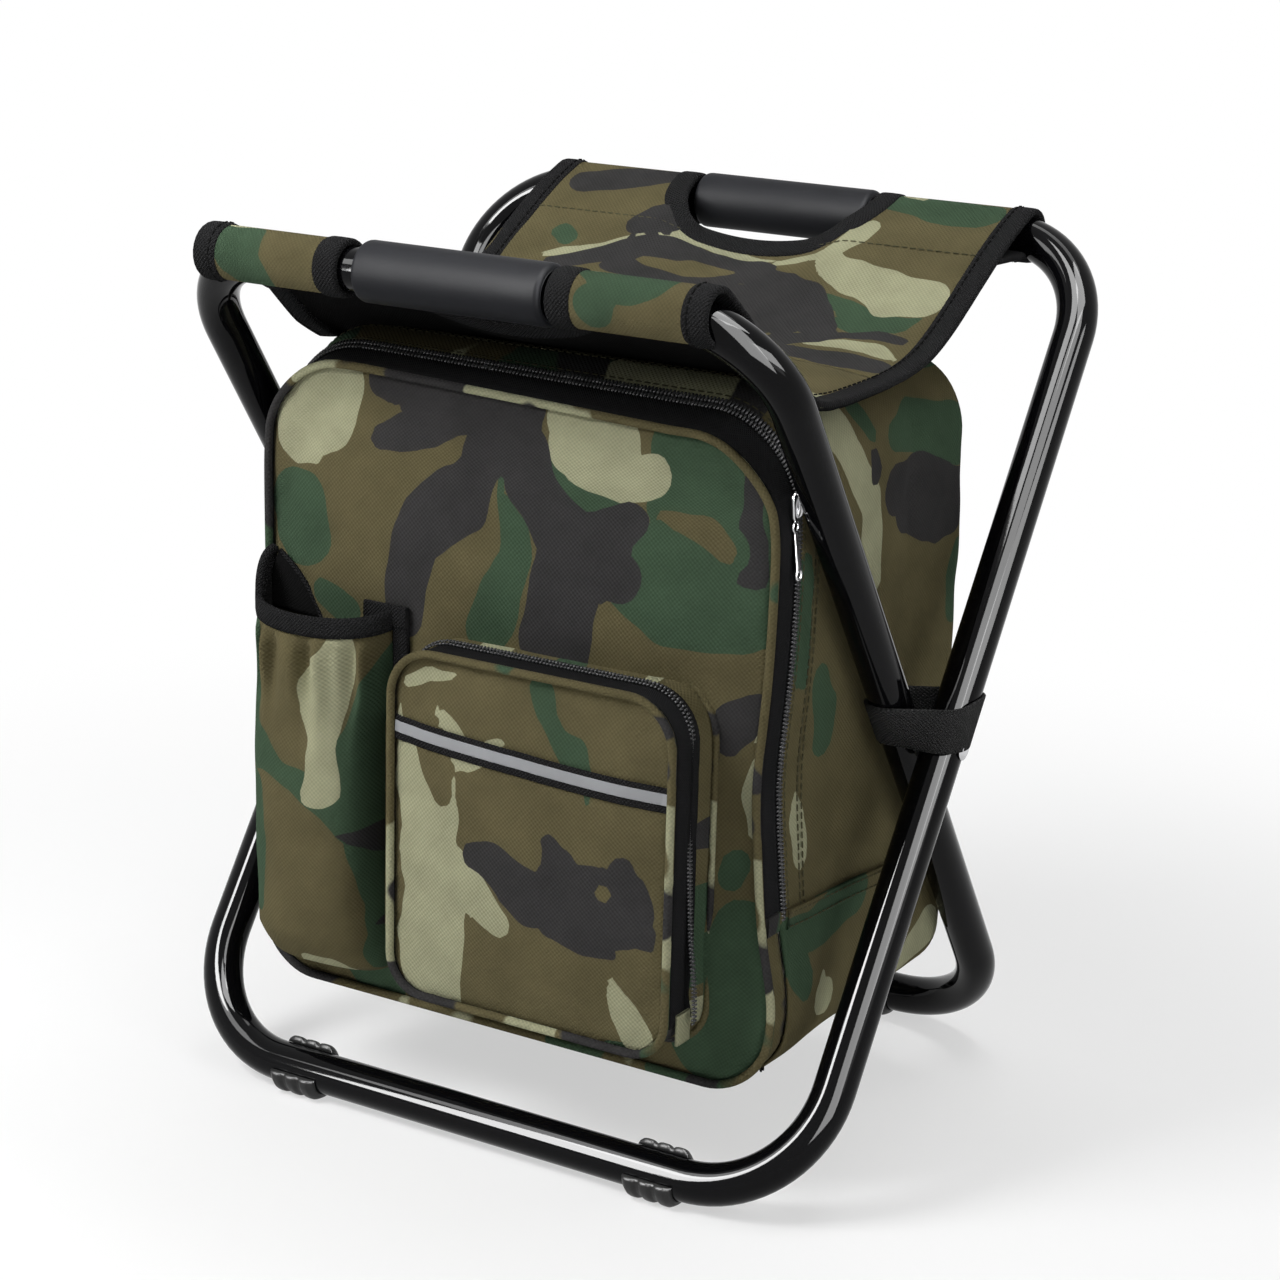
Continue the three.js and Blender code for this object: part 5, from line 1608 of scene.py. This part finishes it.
def bend(made, side, slot, *stands_for):
    """Bakes a seat piece's placement into its points and hides the CAD nodes it stands for."""
    if side > 0:
        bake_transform(made)
    else:
        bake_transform(made)
    if stands_for:
        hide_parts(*stands_for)


def seat_shown(x, along):
    """1 where the photo shows the seat, so that its print is drawn, and 0 where it follows noise."""
    rear = fade(along, -10, 25) * np.maximum(fade(x, -75, 30), fade(along, 50, 20))
    return np.maximum(rear, fade(along, -116, -14))


def seat_half(side, name, stands_for):
    """One half of the sling from the middle line round its rail; side is 1 at the back."""
    run, turn = seat_section(side)
    edge_run = run[-1, 0]
    across = np.concatenate([
        np.linspace(-SEAT_HALF_WIDTH, -HAND_HALF_WIDTH, 21),
        np.linspace(-HAND_HALF_WIDTH, HAND_HALF_WIDTH, 41)[1:-1],
        np.linspace(HAND_HALF_WIDTH, SEAT_HALF_WIDTH, 21),
    ])
    notch = RAIL_SPREAD - HAND_DEPTH
    corner = np.clip(np.abs(across) - HAND_HALF_WIDTH + HAND_CORNER, 0, HAND_CORNER) / HAND_CORNER
    cut = notch + (edge_run - notch) * (1 - np.sqrt(np.clip(1 - corner ** 2, 0, 1)))
    reach = np.where(np.abs(across) >= HAND_HALF_WIDTH, edge_run, cut)
    y = reach[:, None] * np.linspace(0, 1, 40)
    points = np.stack([np.broadcast_to(across[:, None], y.shape), y, np.interp(y, *run.T)], axis=-1)
    points[..., 2] += ripple(points, 55.0, 1.6, 8.2 + side) * np.sin(math.pi * np.clip(y / edge_run, 0, 1))

    lengths = run_lengths(run)
    turn_lengths = lengths[-1] + run_lengths(np.vstack([run[-1:], turn]))
    panel = np.stack([points[..., 0], np.interp(points[..., 1], run[:, 0], lengths)], axis=-1)
    index = np.arange(y.size).reshape(y.shape)
    faces, corners = grid_faces(*y.shape)
    uvs = [panel[a, b] for a, b in corners]
    pieces, flats = [points.reshape(-1, 3)], [panel.reshape(-1, 2)]
    for sleeve in (np.flatnonzero(across <= -HAND_HALF_WIDTH), np.flatnonzero(across >= HAND_HALF_WIDTH)):
        wrap = np.concatenate([sideways(turn, across[i]) for i in sleeve])
        fresh = sum(map(len, pieces)) + np.arange(len(wrap)).reshape(len(sleeve), -1)
        joined = np.concatenate([index[sleeve, -1:], fresh], axis=1)
        more, corners = grid_faces(*joined.shape)
        faces += [joined.ravel()[face].tolist() for face in more]
        uvs += [(across[sleeve[a]], turn_lengths[b]) for a, b in corners]
        pieces.append(wrap)
        flats.append(np.array([[across[i], length] for i in sleeve for length in turn_lengths[1:]]))
    everything = lie(np.vstack(pieces) * (1, side, 1))
    uvs = np.array(uvs) + (0, side * SEAT_ROLL_SHIFT)
    made = add_mesh(f"seat_{name}_half", everything, faces, camo_seat, uvs)
    flat = np.concatenate(flats) * (1, side)
    paint(made, flat, SEAT_PRINT, where=seat_shown(*flat.T))
    if side < 0:
        made.data.flip_normals()
    bend(thicken(made, 1.6, inside=black_lining), side, "camouflage_cloth", *stands_for)
    seat_trim(side, name, run, turn)


def seat_trim(side, name, run, turn):
    """Black binding down both edges and round the hand cut-out, and the seam of the tail."""
    flip = np.array([1, side, 1])
    section = pillow(BINDING_WIDTH, 3.6)

    def bind(part, path, up):
        path = lie((path - up * BINDING_SINK) * flip)
        bend(swept(f"seat_{name}_{part}", path, up * flip, section, binding), side, "black_webbing")

    whole = resample(np.vstack([run, turn]), 3.0)
    up = sideways(-normals(whole), 0)
    for end, sign in (("left", -1), ("right", 1)):
        path = sideways(whole, sign * (SEAT_HALF_WIDTH - BINDING_WIDTH / 2 + 1.0))
        bind(f"binding_{end}", path, up)
        inner = path * flip - (sign * (BINDING_WIDTH / 2 - 3.0), 0, 0) + up * flip
        seam = stitches(f"seat_{name}_binding_stitch_{end}", lie(inner), up * flip, thread_dark)
        bend(seam, side, "black_webbing")

    away = BINDING_WIDTH / 2 - 0.8
    edge_run = run[-1, 0]
    angles = np.radians(np.linspace(0, 90, 14))
    corner_x = HAND_HALF_WIDTH - HAND_CORNER + (HAND_CORNER + away) * np.sin(angles)
    corner_y = edge_run - (edge_run - RAIL_SPREAD + HAND_DEPTH + away) * np.cos(angles)
    notch_x = np.concatenate([-corner_x[::-1], corner_x])
    notch_y = np.concatenate([corner_y[::-1], corner_y])
    notch = np.stack([notch_x, notch_y, np.interp(notch_y, *run.T)], axis=1)
    ring = HAND_HALF_WIDTH + away
    path = np.vstack([sideways(turn, -ring)[::-1], notch, sideways(turn, ring)])
    turn_up = -normals(np.vstack([run[-1:], turn]))[1:]
    notch_up = between(notch_y, run[:, 0], -normals(run))
    up = sideways(np.vstack([turn_up[::-1], notch_up, turn_up]), 0)
    line = resample(path, 3.0)
    known = run_lengths(path)
    bind("hand_binding", line, between(np.linspace(0, known[-1], len(line)), known, up))

    seam_y = RAIL_SPREAD - TAIL_SEAM - 1
    seam_z = np.interp(seam_y, *run.T)
    for end, sign in (("left", -1), ("right", 1)):
        path = [[sign * x, side * seam_y, seam_z] for x in np.linspace(20, SEAT_HALF_WIDTH - 9, 30)]
        seam = stitches(f"seat_{name}_stitch_{end}", lie(path), (0, 0, 1), thread_olive)
        bend(seam, side, "camouflage_cloth")


camera()
studio()
frames()
frame_strap("left", -1)
frame_strap("right", 1)
bag_body()
bag_inside()
main_zip()
boot()
flap()
pocket()
sliders()
bottle_pocket()
flap_webs()
shoulder_straps()
seat_half(1, "rear", ("rear_sleeve_left", "rear_sleeve_right", "seat_panel"))
seat_half(-1, "front", ("front_sleeve_left", "front_sleeve_right"))
